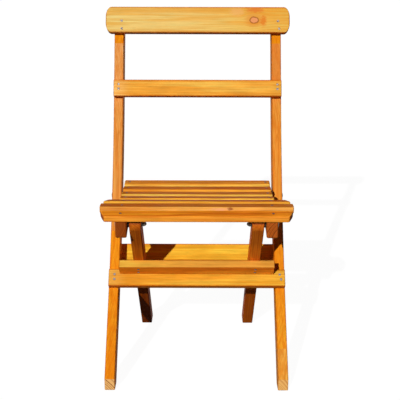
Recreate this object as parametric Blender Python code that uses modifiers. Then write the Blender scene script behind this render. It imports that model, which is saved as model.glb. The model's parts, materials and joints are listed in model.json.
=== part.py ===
"""Folding patio chair of stained softwood, in metres, +Z up, with its front towards -Y.

Two bent side stiles carry a top rail, a back rail and two crossbars. A slatted seat
turns between the stiles on two bolts. A pair of legs turns on two more bolts near the
seat's front edge, passes between the crossbars, and rests its stop bar on the front one.
The origin is on the floor, under the middle of the chair's outline.
"""
import math

import bmesh
import bpy
from mathutils import Vector

# Side stiles, seen from the side: an upright toe, a straight run, a long bend and a straight back
FRAME_HALF = 0.215
STILE_THICK = 0.024
STILE_DEPTH = 0.047
STILE_LENGTH = 0.944
STILE_TOP_ROUND = 0.014
TOE_HEIGHT = 0.030
LOW_RUN = 0.190
BEND_RADIUS = 1.55
LEAN_LOW = math.radians(39.2)
LEAN_HIGH = math.radians(20.0)

# Rails and crossbars, flat boards across the stiles
RAIL_THICK = 0.018
RAIL_INSET = 0.0005
RAIL_WIDTH = 0.043
TOP_RAIL_WIDTH = 0.068
TOP_RAIL_REACH = 0.02125
TOP_RAIL_RISE = 0.0032
TOP_CORNER_LONG = 0.015
TOP_CORNER_HIGH = 0.026
BACK_GAP = 0.122

# Seat: where it turns, the dished line of its slats' tops, and its pieces
SEAT_PIVOT_UP = 0.4655
DISH_AHEAD = 0.0899
DISH_RADIUS = 0.701
NOSE_AHEAD = 0.115
NOSE_RADIUS = 0.247
SLAT_COUNT = 7
LONG_SLATS = 3
SLAT_WIDTH = 0.027
SLAT_THICK = 0.016
SLAT_PITCH = 0.0435
BACK_SLAT_AHEAD = 0.0039
LONG_SLAT_HALF = 0.2223
SEAT_END_RADIUS = 0.118
BEARER_THICK = 0.026
BEARER_DEPTH = 0.040
BEARER_NOSE = 0.004
BEARER_FRONT_ROUND = 0.005

# Legs and their stop bar
LEG_PIVOT_BACK = 0.024
LEG_LEAN = math.radians(42.6)
LEG_THICK = 0.027
LEG_DEPTH = 0.039
STOP_BAR_THICK = 0.021
STOP_BAR_WIDTH = 0.034

# Bolts, nuts, washers and spacers
SHANK_RADIUS = 0.003
SHANK_END = 0.0015
SHANK_CHAMFER = 0.0006
HEAD_RADIUS = 0.0075
HEAD_RIM = 0.0008
HEAD_HEIGHT = 0.003
WASHER_RADIUS = 0.0062
WASHER_THICK = 0.0016
SPACER_RADIUS = 0.008
NUT_CORNER = 0.0057
NUT_HEIGHT = 0.005
CAP_RADIUS = 0.0046
CAP_WALL = 0.0007

# Clearances
CLEAR = 0.0003
BORE_CLEAR = 0.0004
SEAT_GAP = 0.007
LEG_GAP = 0.005
STOP_BAR_GAP = 0.004
FRONT_BAR_CLEAR = 0.0045
REAR_BAR_CLEAR = 0.0075
OVERRUN = 0.002
WELD = 0.00001

# Eased edges
EDGE = 0.002
SLAT_EDGE = 0.003
BEARER_EDGE = 0.004
EDGE_STEPS = 2
SLAT_EDGE_STEPS = 3
EDGE_ANGLE = math.radians(30)

# How finely curves are drawn
BEND_STEPS = 16
SEAT_STEPS = 18
CORNER_STEPS = 7
ROUND_STEPS = 14
TURN_STEPS = 24
HOLE_SIDES = 24
DOME_STEPS = 5


def srgb(red, green, blue):
    """Display values from 0 to 255 as the linear colour that a shader takes."""
    linear = []
    for value in (red, green, blue):
        level = value / 255
        if level <= 0.04045:
            linear.append(level / 12.92)
        else:
            linear.append(((level + 0.055) / 1.055) ** 2.4)
    return (*linear, 1.0)


# Colour, roughness and metallic value of each kind of piece
STILE_WOOD = (srgb(226, 132, 46), 0.50, 0.0)
RAIL_WOOD = (srgb(236, 170, 74), 0.50, 0.0)
SLAT_WOOD = (srgb(196, 112, 40), 0.48, 0.0)
BEARER_WOOD = (srgb(214, 128, 48), 0.52, 0.0)
LEG_WOOD = (srgb(206, 116, 38), 0.52, 0.0)
DARK_STEEL = (srgb(78, 72, 66), 0.40, 1.0)
BLACK_NYLON = (srgb(34, 32, 30), 0.55, 0.0)

BEND_LENGTH = BEND_RADIUS * (LEAN_LOW - LEAN_HIGH)


def stile_lean(along):
    """Lean from upright at a place on the stiles' front face."""
    turned = (along - LOW_RUN) / BEND_RADIUS
    return LEAN_LOW - min(max(turned, 0.0), LEAN_LOW - LEAN_HIGH)


def stile_point(along, out=0.0):
    """A point in the side view, by its way up the stiles' front face and its distance ahead of it."""
    lean = stile_lean(along)
    low = min(along, LOW_RUN)
    high = max(along - LOW_RUN - BEND_LENGTH, 0.0)
    y = low * math.sin(LEAN_LOW) + high * math.sin(LEAN_HIGH)
    z = low * math.cos(LEAN_LOW) + high * math.cos(LEAN_HIGH)
    y += BEND_RADIUS * (math.cos(lean) - math.cos(LEAN_LOW))
    z += BEND_RADIUS * (math.sin(LEAN_LOW) - math.sin(lean))
    return Vector((y - out * math.cos(lean), TOE_HEIGHT + z + out * math.sin(lean)))


def rail_corner(middle, up, out):
    """A point of a flat board across the stiles: up its width and out from their front face."""
    lean = stile_lean(middle)
    rise = Vector((math.sin(lean), math.cos(lean)))
    ahead = Vector((-math.cos(lean), math.sin(lean)))
    return stile_point(middle) + rise * up + ahead * out


def rail_gap(middle, width):
    """How far ahead of the stiles' face a flat board lies, so that its edges clear the bend too."""
    lean = stile_lean(middle)
    ahead = Vector((-math.cos(lean), math.sin(lean)))
    most = 0.0
    for edge in (middle - width / 2, middle + width / 2):
        most = max(most, (stile_point(edge) - stile_point(middle)).dot(ahead))
    return CLEAR + most


def solve(measure, low, high):
    """The value between low and high where a falling measure reaches zero."""
    for _ in range(60):
        middle = (low + high) / 2
        if measure(middle) > 0.0:
            low = middle
        else:
            high = middle
    return (low + high) / 2


# Places across the chair, from the stiles inwards
STILE_INNER = FRAME_HALF - STILE_THICK
STILE_MIDDLE = FRAME_HALF - STILE_THICK / 2
SEAT_HALF = STILE_INNER - SEAT_GAP
BEARER_MIDDLE = SEAT_HALF - BEARER_THICK / 2
BEARER_INNER = SEAT_HALF - BEARER_THICK
LEG_OUTER = BEARER_INNER - LEG_GAP
LEG_MIDDLE = LEG_OUTER - LEG_THICK / 2
LEG_INNER = LEG_OUTER - LEG_THICK

# The seat turns at half the stiles' depth, and its bearers' middle line runs through the pivot
SEAT_PIVOT = stile_point(SEAT_PIVOT_UP, -STILE_DEPTH / 2)
SLAT_SEAT = SLAT_THICK + CLEAR + SLAT_WIDTH ** 2 / DISH_RADIUS / 8
BEARER_LINE = SLAT_SEAT + BEARER_DEPTH / 2
DISH_SPAN = DISH_RADIUS + BEARER_LINE
DISH_CENTRE = SEAT_PIVOT + Vector((-DISH_AHEAD, math.sqrt(DISH_SPAN ** 2 - DISH_AHEAD ** 2)))
ARCS_SPAN = DISH_RADIUS + NOSE_RADIUS
NOSE_CENTRE = DISH_CENTRE - Vector((NOSE_AHEAD, math.sqrt(ARCS_SPAN ** 2 - NOSE_AHEAD ** 2)))
ARCS_MEET = NOSE_CENTRE + (DISH_CENTRE - NOSE_CENTRE) * NOSE_RADIUS / ARCS_SPAN


def seat_slope(y):
    """Slope of the seat's top line, positive where it rises to the rear."""
    if y > ARCS_MEET.x:
        return math.asin((y - DISH_CENTRE.x) / DISH_RADIUS)
    return -math.asin((y - NOSE_CENTRE.x) / NOSE_RADIUS)


def seat_point(y, under=0.0):
    """A point on the seat's top line, or that far square under it."""
    slope = seat_slope(y)
    if y > ARCS_MEET.x:
        z = DISH_CENTRE.y - DISH_RADIUS * math.cos(slope)
    else:
        z = NOSE_CENTRE.y + NOSE_RADIUS * math.cos(slope)
    return Vector((y + under * math.sin(slope), z - under * math.cos(slope)))


def slat_middle(number):
    """How far back a slat's middle lies, counted from the rear one."""
    return SEAT_PIVOT.x - BACK_SLAT_AHEAD - SLAT_PITCH * number


# The legs turn on the bearers' middle line, which there is an arc round the nose's centre
LEG_PIVOT_Y = slat_middle(SLAT_COUNT - 1) + LEG_PIVOT_BACK
NOSE_LINE = NOSE_RADIUS - BEARER_LINE
NOSE_BACK = LEG_PIVOT_Y - NOSE_CENTRE.x
LEG_PIVOT = Vector((LEG_PIVOT_Y, NOSE_CENTRE.y + math.sqrt(NOSE_LINE ** 2 - NOSE_BACK ** 2)))
LEG_DOWN = Vector((math.sin(LEG_LEAN), -math.cos(LEG_LEAN)))
LEG_AHEAD = Vector((-math.cos(LEG_LEAN), -math.sin(LEG_LEAN)))


def ahead_of_legs(point):
    """How far a point lies ahead of the legs' front faces."""
    return (point - LEG_PIVOT).dot(LEG_AHEAD) - LEG_DEPTH / 2


def behind_legs(point):
    """How far a point lies behind the legs' rear faces."""
    return -(point - LEG_PIVOT).dot(LEG_AHEAD) - LEG_DEPTH / 2


def front_bar_room(middle):
    """Spare room between the front crossbar's upper rear edge and the legs."""
    edge = rail_corner(middle, RAIL_WIDTH / 2, rail_gap(middle, RAIL_WIDTH))
    return ahead_of_legs(edge) - FRONT_BAR_CLEAR


def rear_bar_want(middle):
    """Room that the rear crossbar's lower front edge still lacks from the legs."""
    edge = rail_corner(middle, -RAIL_WIDTH / 2, -STILE_DEPTH - CLEAR)
    return REAR_BAR_CLEAR - behind_legs(edge)


# Places of the boards up the stiles' front face
TOP_RAIL_UP = STILE_LENGTH + TOP_RAIL_RISE - TOP_RAIL_WIDTH / 2
BACK_RAIL_UP = TOP_RAIL_UP - TOP_RAIL_WIDTH / 2 - BACK_GAP - RAIL_WIDTH / 2
FRONT_BAR_UP = solve(front_bar_room, 0.0, STILE_LENGTH)
REAR_BAR_UP = solve(rear_bar_want, 0.0, STILE_LENGTH)

# The stop bar's lower face rests on the front crossbar's rounded upper front edge
BAR_ROUND = rail_corner(FRONT_BAR_UP, RAIL_WIDTH / 2 - EDGE,
                        rail_gap(FRONT_BAR_UP, RAIL_WIDTH) + RAIL_THICK - EDGE)
STOP_BAR_DOWN = (BAR_ROUND - LEG_PIVOT).dot(LEG_DOWN) - EDGE - CLEAR - STOP_BAR_WIDTH / 2
STOP_BAR_HALF = STILE_INNER - STOP_BAR_GAP


def start_scene():
    """Clears the scene and makes the chair's collection and the cutters' collection."""
    for item in list(bpy.data.objects):
        bpy.data.objects.remove(item, do_unlink=True)
    chair = bpy.data.collections.new("folding_patio_chair")
    cutters = bpy.data.collections.new("cutters")
    bpy.context.scene.collection.children.link(chair)
    bpy.context.scene.collection.children.link(cutters)
    return chair, cutters


CHAIR, CUTTERS = start_scene()


def pivot_empty(name, point, parent=None, parent_point=None):
    """An empty on the chair's middle plane that carries a body's pieces."""
    empty = bpy.data.objects.new(name, None)
    CHAIR.objects.link(empty)
    empty.parent = parent
    start = parent_point or Vector((0.0, 0.0))
    empty.location = (0.0, point.x - start.x, point.y - start.y)
    return empty


def new_material(name, look):
    """A plain material with the piece's colour, roughness and metallic value."""
    material = bpy.data.materials.new(name)
    material.use_nodes = True
    shader = material.node_tree.nodes["Principled BSDF"]
    shader.inputs["Base Color"].default_value = look[0]
    shader.inputs["Roughness"].default_value = look[1]
    shader.inputs["Metallic"].default_value = look[2]
    material.diffuse_color = look[0]
    return material


def is_level(face):
    """Whether a face of an extruded outline is part of its flat side."""
    heights = [vert.co.z for vert in face.verts]
    return max(heights) - min(heights) < WELD


def outline_mesh(name, outline, thick):
    """A flat outline drawn as a filled curve of the given thickness."""
    curve = bpy.data.curves.new(name, "CURVE")
    curve.dimensions = "2D"
    curve.fill_mode = "BOTH"
    curve.extrude = thick / 2
    spline = curve.splines.new("POLY")
    spline.points.add(len(outline) - 1)
    for target, point in zip(spline.points, outline):
        target.co = (point[0], point[1], 0.0, 1.0)
    spline.use_cyclic_u = True
    holder = bpy.data.objects.new(name, curve)
    bpy.context.scene.collection.objects.link(holder)
    graph = bpy.context.evaluated_depsgraph_get()
    mesh = bpy.data.meshes.new_from_object(holder.evaluated_get(graph))
    bpy.data.objects.remove(holder, do_unlink=True)
    bpy.data.curves.remove(curve)
    shape = bmesh.new()
    shape.from_mesh(mesh)
    bmesh.ops.remove_doubles(shape, verts=shape.verts, dist=WELD)
    # The fill's triangles become one flat face on each side, so that rounding meets no stray edge
    flat = [edge for edge in shape.edges if all(is_level(face) for face in edge.link_faces)]
    bmesh.ops.dissolve_edges(shape, edges=flat, use_verts=False)
    bmesh.ops.recalc_face_normals(shape, faces=shape.faces)
    shape.to_mesh(mesh)
    shape.free()
    mesh.name = name
    return mesh


def box_mesh(name, along, across, thick):
    """A plain board, centred on its origin."""
    mesh = bpy.data.meshes.new(name)
    shape = bmesh.new()
    bmesh.ops.create_cube(shape, size=1.0)
    for vert in shape.verts:
        vert.co = (vert.co.x * along, vert.co.y * across, vert.co.z * thick)
    shape.to_mesh(mesh)
    shape.free()
    return mesh


def bar_mesh(name, radius, length, sides):
    """A round or many-sided bar along its own Z, centred on its origin."""
    mesh = bpy.data.meshes.new(name)
    shape = bmesh.new()
    bmesh.ops.create_cone(shape, cap_ends=True, segments=sides, radius1=radius, radius2=radius,
                          depth=length)
    shape.to_mesh(mesh)
    shape.free()
    return mesh


def profile_mesh(name, points, closed):
    """A line in the XZ plane, to be turned about Z."""
    mesh = bpy.data.meshes.new(name)
    shape = bmesh.new()
    verts = [shape.verts.new((radius, 0.0, height)) for radius, height in points]
    for first, second in zip(verts[:-1], verts[1:]):
        shape.edges.new((first, second))
    if closed:
        shape.edges.new((verts[-1], verts[0]))
    shape.to_mesh(mesh)
    shape.free()
    return mesh


def add_piece(name, mesh, look):
    """A named piece of the chair with its own material."""
    mesh.name = name
    mesh.materials.append(new_material(name, look))
    piece = bpy.data.objects.new(name, mesh)
    CHAIR.objects.link(piece)
    return piece


def add_cutter(name, mesh):
    """A hidden shape that cuts or joins pieces."""
    cutter = bpy.data.objects.new(name, mesh)
    CUTTERS.objects.link(cutter)
    cutter.hide_render = True
    cutter.display_type = "WIRE"
    return cutter


def ease_edges(piece, width, steps):
    """Rounds a board's sharp edges."""
    bevel = piece.modifiers.new("Eased edges", "BEVEL")
    bevel.width = width
    bevel.segments = steps
    bevel.limit_method = "ANGLE"
    bevel.use_clamp_overlap = False
    bevel.angle_limit = EDGE_ANGLE


def cut_with(piece, cutter, operation="DIFFERENCE"):
    """Cuts or joins a piece with a hidden shape."""
    boolean = piece.modifiers.new(cutter.name, "BOOLEAN")
    boolean.operation = operation
    boolean.solver = "EXACT"
    boolean.object = cutter


def turn_profile(piece):
    """Turns a profile all the way round its own Z."""
    screw = piece.modifiers.new("Turned", "SCREW")
    screw.axis = "Z"
    screw.angle = math.tau
    screw.steps = TURN_STEPS
    screw.render_steps = TURN_STEPS
    screw.use_merge_vertices = True
    screw.merge_threshold = WELD
    screw.use_smooth_shade = False


def place(piece, body, x, point):
    """Puts a piece on its body, at a distance across the chair and a point of the side view."""
    parent, start = body
    piece.parent = parent
    piece.location = (x, point.x - start.x, point.y - start.y)


def face_side(piece, side):
    """Turns a piece's own Z outwards, to the chair's left or right."""
    piece.rotation_euler = (0.0, side * math.pi / 2, 0.0)


def face_across(piece):
    """Stands a side-view outline up, with its thickness across the chair."""
    piece.rotation_euler = (math.pi / 2, 0.0, math.pi / 2)


def arc_points(centre, radius, start, end, steps):
    """Points on an arc of the side view, both ends included."""
    points = []
    for step in range(steps + 1):
        angle = start + (end - start) * step / steps
        points.append(centre + Vector((math.cos(angle), math.sin(angle))) * radius)
    return points


def stile_outline():
    """The bent stile from the side, from the toe up the front face and down the rear one."""
    bend = [LOW_RUN + BEND_LENGTH * step / BEND_STEPS for step in range(BEND_STEPS + 1)]
    points = [Vector((0.0, 0.0)), Vector((0.0, TOE_HEIGHT))]
    points += [stile_point(along) for along in bend]
    points.append(stile_point(STILE_LENGTH))
    for step in range(CORNER_STEPS + 1):
        turn = math.pi / 2 * step / CORNER_STEPS
        along = STILE_LENGTH - STILE_TOP_ROUND * (1 - math.cos(turn))
        out = STILE_TOP_ROUND * (1 - math.sin(turn)) - STILE_DEPTH
        points.append(stile_point(along, out))
    points += [stile_point(along, -STILE_DEPTH) for along in reversed(bend)]
    # The rear face runs straight on down to the floor
    floor = (STILE_DEPTH * math.sin(LEAN_LOW) - TOE_HEIGHT) / math.cos(LEAN_LOW)
    points.append(stile_point(floor, -STILE_DEPTH))
    return points


def leg_outline():
    """A leg from the side: round about its pivot, straight, and cut level at the floor."""
    turn = math.atan2(LEG_AHEAD.y, LEG_AHEAD.x)
    points = arc_points(LEG_PIVOT, LEG_DEPTH / 2, turn, turn - math.pi, ROUND_STEPS)
    lift = LEG_DEPTH / 2 * math.sin(LEG_LEAN)
    rear = (LEG_PIVOT.y + lift) / math.cos(LEG_LEAN)
    front = (LEG_PIVOT.y - lift) / math.cos(LEG_LEAN)
    points.append(LEG_PIVOT - LEG_AHEAD * LEG_DEPTH / 2 + LEG_DOWN * rear)
    points.append(LEG_PIVOT + LEG_AHEAD * LEG_DEPTH / 2 + LEG_DOWN * front)
    return points


def seat_line_over(y, under):
    """Where the seat's top line passes square over the point that lies at y, that far under it."""
    return solve(lambda over: y - seat_point(over, under).x, y - under, y)


def bearer_outline():
    """A seat bearer from the side, cut upright at its front and round about the seat's pivot."""
    rear_slope = math.asin(DISH_AHEAD / DISH_SPAN)
    rear = DISH_CENTRE.x + DISH_RADIUS * math.sin(rear_slope)
    end = slat_middle(SLAT_COUNT - 1) - BEARER_NOSE
    front = seat_line_over(end, SLAT_SEAT)
    stations = [front + (rear - front) * step / SEAT_STEPS for step in range(SEAT_STEPS + 1)]
    points = [seat_point(y, SLAT_SEAT) for y in stations]
    up = math.pi / 2 + rear_slope
    points += arc_points(SEAT_PIVOT, BEARER_DEPTH / 2, up, up - math.pi, ROUND_STEPS)[1:-1]
    # Back along the lower edge as far as the rounded front corner
    under = SLAT_SEAT + BEARER_DEPTH
    front = seat_line_over(end + BEARER_FRONT_ROUND, under)
    slope = seat_slope(front)
    lift = BEARER_FRONT_ROUND / math.cos(slope)
    centre = seat_point(front, under) + Vector((0.0, lift))
    last = centre.x + BEARER_FRONT_ROUND * math.sin(slope)
    for y in reversed(stations):
        point = seat_point(y, under)
        if point.x > last:
            points.append(point)
    points += arc_points(centre, BEARER_FRONT_ROUND, slope - math.pi / 2, -math.pi, CORNER_STEPS)
    return points


def seat_end(y):
    """Half the seat's width at a distance back: the long slats' ends lie on one round line."""
    away = y - slat_middle(SLAT_COUNT - 2)
    return LONG_SLAT_HALF - SEAT_END_RADIUS + math.sqrt(SEAT_END_RADIUS ** 2 - away ** 2)


def slat_outline(number):
    """A long slat from above, with its ends on the seat's round line."""
    middle = slat_middle(number)
    level = math.cos(seat_slope(middle))
    right = []
    for step in range(CORNER_STEPS + 1):
        back = SLAT_WIDTH * (step / CORNER_STEPS - 1 / 2)
        right.append((seat_end(middle + back * level), back))
    left = [(-half, back) for half, back in reversed(right)]
    return right + left


def top_rail_outline():
    """The top rail from the front, with corners drawn in along a long arc."""
    half = FRAME_HALF + TOP_RAIL_REACH
    points = []
    for right, up in ((1, 1), (-1, 1), (-1, -1), (1, -1)):
        quarter = []
        for step in range(CORNER_STEPS + 1):
            turn = math.pi / 2 * step / CORNER_STEPS
            x = half - TOP_CORNER_LONG * (1 - math.cos(turn))
            z = TOP_RAIL_WIDTH / 2 - TOP_CORNER_HIGH * (1 - math.sin(turn))
            quarter.append((right * x, up * z))
        if right * up < 0:
            quarter.reverse()
        points += quarter
    return points


def moved(points, origin):
    """An outline's points, measured from a piece's own origin."""
    return [point - origin for point in points]


def add_board(name, mesh, look, middle, out, edge=EDGE):
    """A board across the stiles, leaning as they do where it lies."""
    board = add_piece(name, mesh, look)
    board.rotation_euler = (math.pi / 2 - stile_lean(middle), 0.0, 0.0)
    place(board, BACK, 0.0, rail_corner(middle, 0.0, out))
    ease_edges(board, edge, EDGE_STEPS)
    return board


def ring_profile(outer, bore, thick):
    """Half the section of a washer or spacer, from its outer upper corner round to its bore."""
    half = thick / 2
    return [(outer, half), (outer, -half), (bore, -half), (bore, half)]


def add_ring(name, side, body, x, point, outer, thick, look):
    """A washer or spacer round a bolt, centred at a distance across the chair."""
    bore = SHANK_RADIUS + BORE_CLEAR
    ring = add_piece(name, profile_mesh(name, ring_profile(outer, bore, thick), True), look)
    turn_profile(ring)
    face_side(ring, side)
    place(ring, body, side * x, point)
    return ring


def add_bolt(name, side, body, x, point, length):
    """A bolt with a low domed head outside its seat, and its shank inwards."""
    dome = []
    for step in range(DOME_STEPS + 1):
        turn = math.pi / 2 * (1 - step / DOME_STEPS)
        dome.append((HEAD_RADIUS * math.cos(turn),
                     HEAD_RIM + (HEAD_HEIGHT - HEAD_RIM) * math.sin(turn)))
    dome[0] = (0.0, HEAD_HEIGHT)
    shank = [(HEAD_RADIUS, 0.0), (SHANK_RADIUS, 0.0), (SHANK_RADIUS, SHANK_CHAMFER - length),
             (SHANK_RADIUS - SHANK_CHAMFER, -length), (0.0, -length)]
    bolt = add_piece(name, profile_mesh(name, dome + shank, False), DARK_STEEL)
    turn_profile(bolt)
    face_side(bolt, side)
    place(bolt, body, side * x, point)
    return bolt


def add_nut(name, side, body, x, point):
    """A six-sided nut on a bolt, centred at a distance across the chair."""
    nut = add_piece(name, bar_mesh(name, NUT_CORNER, NUT_HEIGHT, 6), DARK_STEEL)
    face_side(nut, side)
    place(nut, body, side * x, point)
    return nut


def side_name(base, side):
    """A piece's name with the chair's left or right, as seen from the front."""
    return f"{base}_{'right' if side > 0 else 'left'}"


# The root stands on the floor under the outline's middle; each moving body has its own empty
STILE_SHAPE = stile_outline()
OUTLINE_DEPTH = max(point.x for point in STILE_SHAPE)
ROOT_EMPTY = pivot_empty("chair_root", Vector((-OUTLINE_DEPTH / 2, 0.0)))
SEAT_EMPTY = pivot_empty("seat_pivot", SEAT_PIVOT, ROOT_EMPTY)
LEG_EMPTY = pivot_empty("leg_pivot", LEG_PIVOT, SEAT_EMPTY, SEAT_PIVOT)
BACK = (ROOT_EMPTY, Vector((0.0, 0.0)))
SEAT = (SEAT_EMPTY, SEAT_PIVOT)
LEGS = (LEG_EMPTY, LEG_PIVOT)

# One cutter a side for each pivot, so the holes that a bolt passes through line up
SEAT_BORES = {}
LEG_BORES = {}
for SIDE in (-1, 1):
    REACH = FRAME_HALF - BEARER_INNER + OVERRUN * 2
    MIDDLE = (FRAME_HALF + BEARER_INNER) / 2
    HOLE = add_cutter(side_name("seat_bore", SIDE),
                      bar_mesh("seat_bore", SHANK_RADIUS + BORE_CLEAR, REACH, HOLE_SIDES))
    face_side(HOLE, SIDE)
    place(HOLE, SEAT, SIDE * MIDDLE, SEAT_PIVOT)
    SEAT_BORES[SIDE] = HOLE
    REACH = SEAT_HALF - LEG_INNER + OVERRUN * 2
    MIDDLE = (SEAT_HALF + LEG_INNER) / 2
    HOLE = add_cutter(side_name("leg_bore", SIDE),
                      bar_mesh("leg_bore", SHANK_RADIUS + BORE_CLEAR, REACH, HOLE_SIDES))
    face_side(HOLE, SIDE)
    place(HOLE, LEGS, SIDE * MIDDLE, LEG_PIVOT)
    LEG_BORES[SIDE] = HOLE

# Back frame: the two bent stiles
for SIDE in (-1, 1):
    NAME = side_name("stile", SIDE)
    STILE = add_piece(NAME, outline_mesh(NAME, STILE_SHAPE, STILE_THICK), STILE_WOOD)
    face_across(STILE)
    place(STILE, BACK, SIDE * STILE_MIDDLE, Vector((0.0, 0.0)))
    ease_edges(STILE, EDGE, EDGE_STEPS)
    cut_with(STILE, SEAT_BORES[SIDE])

# Back frame: top rail, back rail, and the crossbars ahead of and behind the legs
RAIL_LENGTH = (FRAME_HALF - RAIL_INSET) * 2
TOP_OUT = rail_gap(TOP_RAIL_UP, TOP_RAIL_WIDTH) + RAIL_THICK / 2
add_board("top_rail", outline_mesh("top_rail", top_rail_outline(), RAIL_THICK), RAIL_WOOD,
          TOP_RAIL_UP, TOP_OUT)
BACK_OUT = rail_gap(BACK_RAIL_UP, RAIL_WIDTH) + RAIL_THICK / 2
add_board("back_rail", box_mesh("back_rail", RAIL_LENGTH, RAIL_WIDTH, RAIL_THICK), RAIL_WOOD,
          BACK_RAIL_UP, BACK_OUT)
FRONT_OUT = rail_gap(FRONT_BAR_UP, RAIL_WIDTH) + RAIL_THICK / 2
add_board("front_crossbar", box_mesh("front_crossbar", RAIL_LENGTH, RAIL_WIDTH, RAIL_THICK),
          RAIL_WOOD, FRONT_BAR_UP, FRONT_OUT)
REAR_OUT = -STILE_DEPTH - CLEAR - RAIL_THICK / 2
add_board("rear_crossbar", box_mesh("rear_crossbar", RAIL_LENGTH, RAIL_WIDTH, RAIL_THICK),
          RAIL_WOOD, REAR_BAR_UP, REAR_OUT)

# Seat: two curved bearers, bored for both pivots
for SIDE in (-1, 1):
    NAME = side_name("seat_bearer", SIDE)
    OUTLINE = moved(bearer_outline(), SEAT_PIVOT)
    BEARER = add_piece(NAME, outline_mesh(NAME, OUTLINE, BEARER_THICK), BEARER_WOOD)
    face_across(BEARER)
    place(BEARER, SEAT, SIDE * BEARER_MIDDLE, SEAT_PIVOT)
    ease_edges(BEARER, BEARER_EDGE, SLAT_EDGE_STEPS)
    cut_with(BEARER, SEAT_BORES[SIDE])
    cut_with(BEARER, LEG_BORES[SIDE])

# Seat: slats along the dished line, the front ones longer with shaped ends
for NUMBER in range(SLAT_COUNT):
    NAME = f"seat_slat_{NUMBER + 1}"
    BACK_BY = slat_middle(NUMBER)
    if NUMBER < SLAT_COUNT - LONG_SLATS:
        MESH = box_mesh(NAME, SEAT_HALF * 2, SLAT_WIDTH, SLAT_THICK)
    else:
        MESH = outline_mesh(NAME, slat_outline(NUMBER), SLAT_THICK)
    SLAT = add_piece(NAME, MESH, SLAT_WOOD)
    SLAT.rotation_euler = (seat_slope(BACK_BY), 0.0, 0.0)
    place(SLAT, SEAT, 0.0, seat_point(BACK_BY, SLAT_THICK / 2))
    ease_edges(SLAT, SLAT_EDGE, SLAT_EDGE_STEPS)

# Leg frame: two straight legs and the stop bar on their front faces
for SIDE in (-1, 1):
    NAME = side_name("leg", SIDE)
    OUTLINE = moved(leg_outline(), LEG_PIVOT)
    LEG = add_piece(NAME, outline_mesh(NAME, OUTLINE, LEG_THICK), LEG_WOOD)
    face_across(LEG)
    place(LEG, LEGS, SIDE * LEG_MIDDLE, LEG_PIVOT)
    ease_edges(LEG, EDGE, EDGE_STEPS)
    cut_with(LEG, LEG_BORES[SIDE])
STOP_BAR = add_piece("stop_bar", box_mesh("stop_bar", STOP_BAR_HALF * 2, STOP_BAR_WIDTH,
                                          STOP_BAR_THICK), RAIL_WOOD)
STOP_BAR.rotation_euler = (math.pi / 2 + LEG_LEAN, 0.0, 0.0)
STOP_BAR_OUT = LEG_DEPTH / 2 + CLEAR + STOP_BAR_THICK / 2
place(STOP_BAR, LEGS, 0.0, LEG_PIVOT + LEG_DOWN * STOP_BAR_DOWN + LEG_AHEAD * STOP_BAR_OUT)
ease_edges(STOP_BAR, EDGE, EDGE_STEPS)

# Seat pivots: bolt from outside the stile, spacer, washer and nut inside the bearer
SEAT_WASHER_X = BEARER_INNER - CLEAR - WASHER_THICK / 2
SEAT_NUT_X = SEAT_WASHER_X - WASHER_THICK / 2 - CLEAR - NUT_HEIGHT / 2
SEAT_SHANK_END = SEAT_NUT_X - NUT_HEIGHT / 2 - SHANK_END
for SIDE in (-1, 1):
    add_bolt(side_name("seat_bolt", SIDE), SIDE, BACK, FRAME_HALF + CLEAR, SEAT_PIVOT,
             FRAME_HALF + CLEAR - SEAT_SHANK_END)
    add_ring(side_name("seat_spacer", SIDE), SIDE, BACK, SEAT_HALF + SEAT_GAP / 2, SEAT_PIVOT,
             SPACER_RADIUS, SEAT_GAP - CLEAR * 2, BLACK_NYLON)
    add_ring(side_name("seat_washer", SIDE), SIDE, BACK, SEAT_WASHER_X, SEAT_PIVOT,
             WASHER_RADIUS, WASHER_THICK, DARK_STEEL)
    NUT = add_nut(side_name("seat_nut", SIDE), SIDE, BACK, SEAT_NUT_X, SEAT_PIVOT)
    HOLE = add_cutter(side_name("seat_nut_bore", SIDE),
                      bar_mesh("seat_nut_bore", SHANK_RADIUS + BORE_CLEAR,
                               NUT_HEIGHT + OVERRUN * 2, HOLE_SIDES))
    face_side(HOLE, SIDE)
    place(HOLE, BACK, SIDE * SEAT_NUT_X, SEAT_PIVOT)
    cut_with(NUT, HOLE)

# Leg pivots: bolt from outside the bearer, washer, and a domed nut on the leg's inner side
LEG_WASHER_X = LEG_INNER - CLEAR - WASHER_THICK / 2
LEG_NUT_X = LEG_WASHER_X - WASHER_THICK / 2 - CLEAR - NUT_HEIGHT / 2
CAP_X = LEG_NUT_X - NUT_HEIGHT / 2
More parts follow.
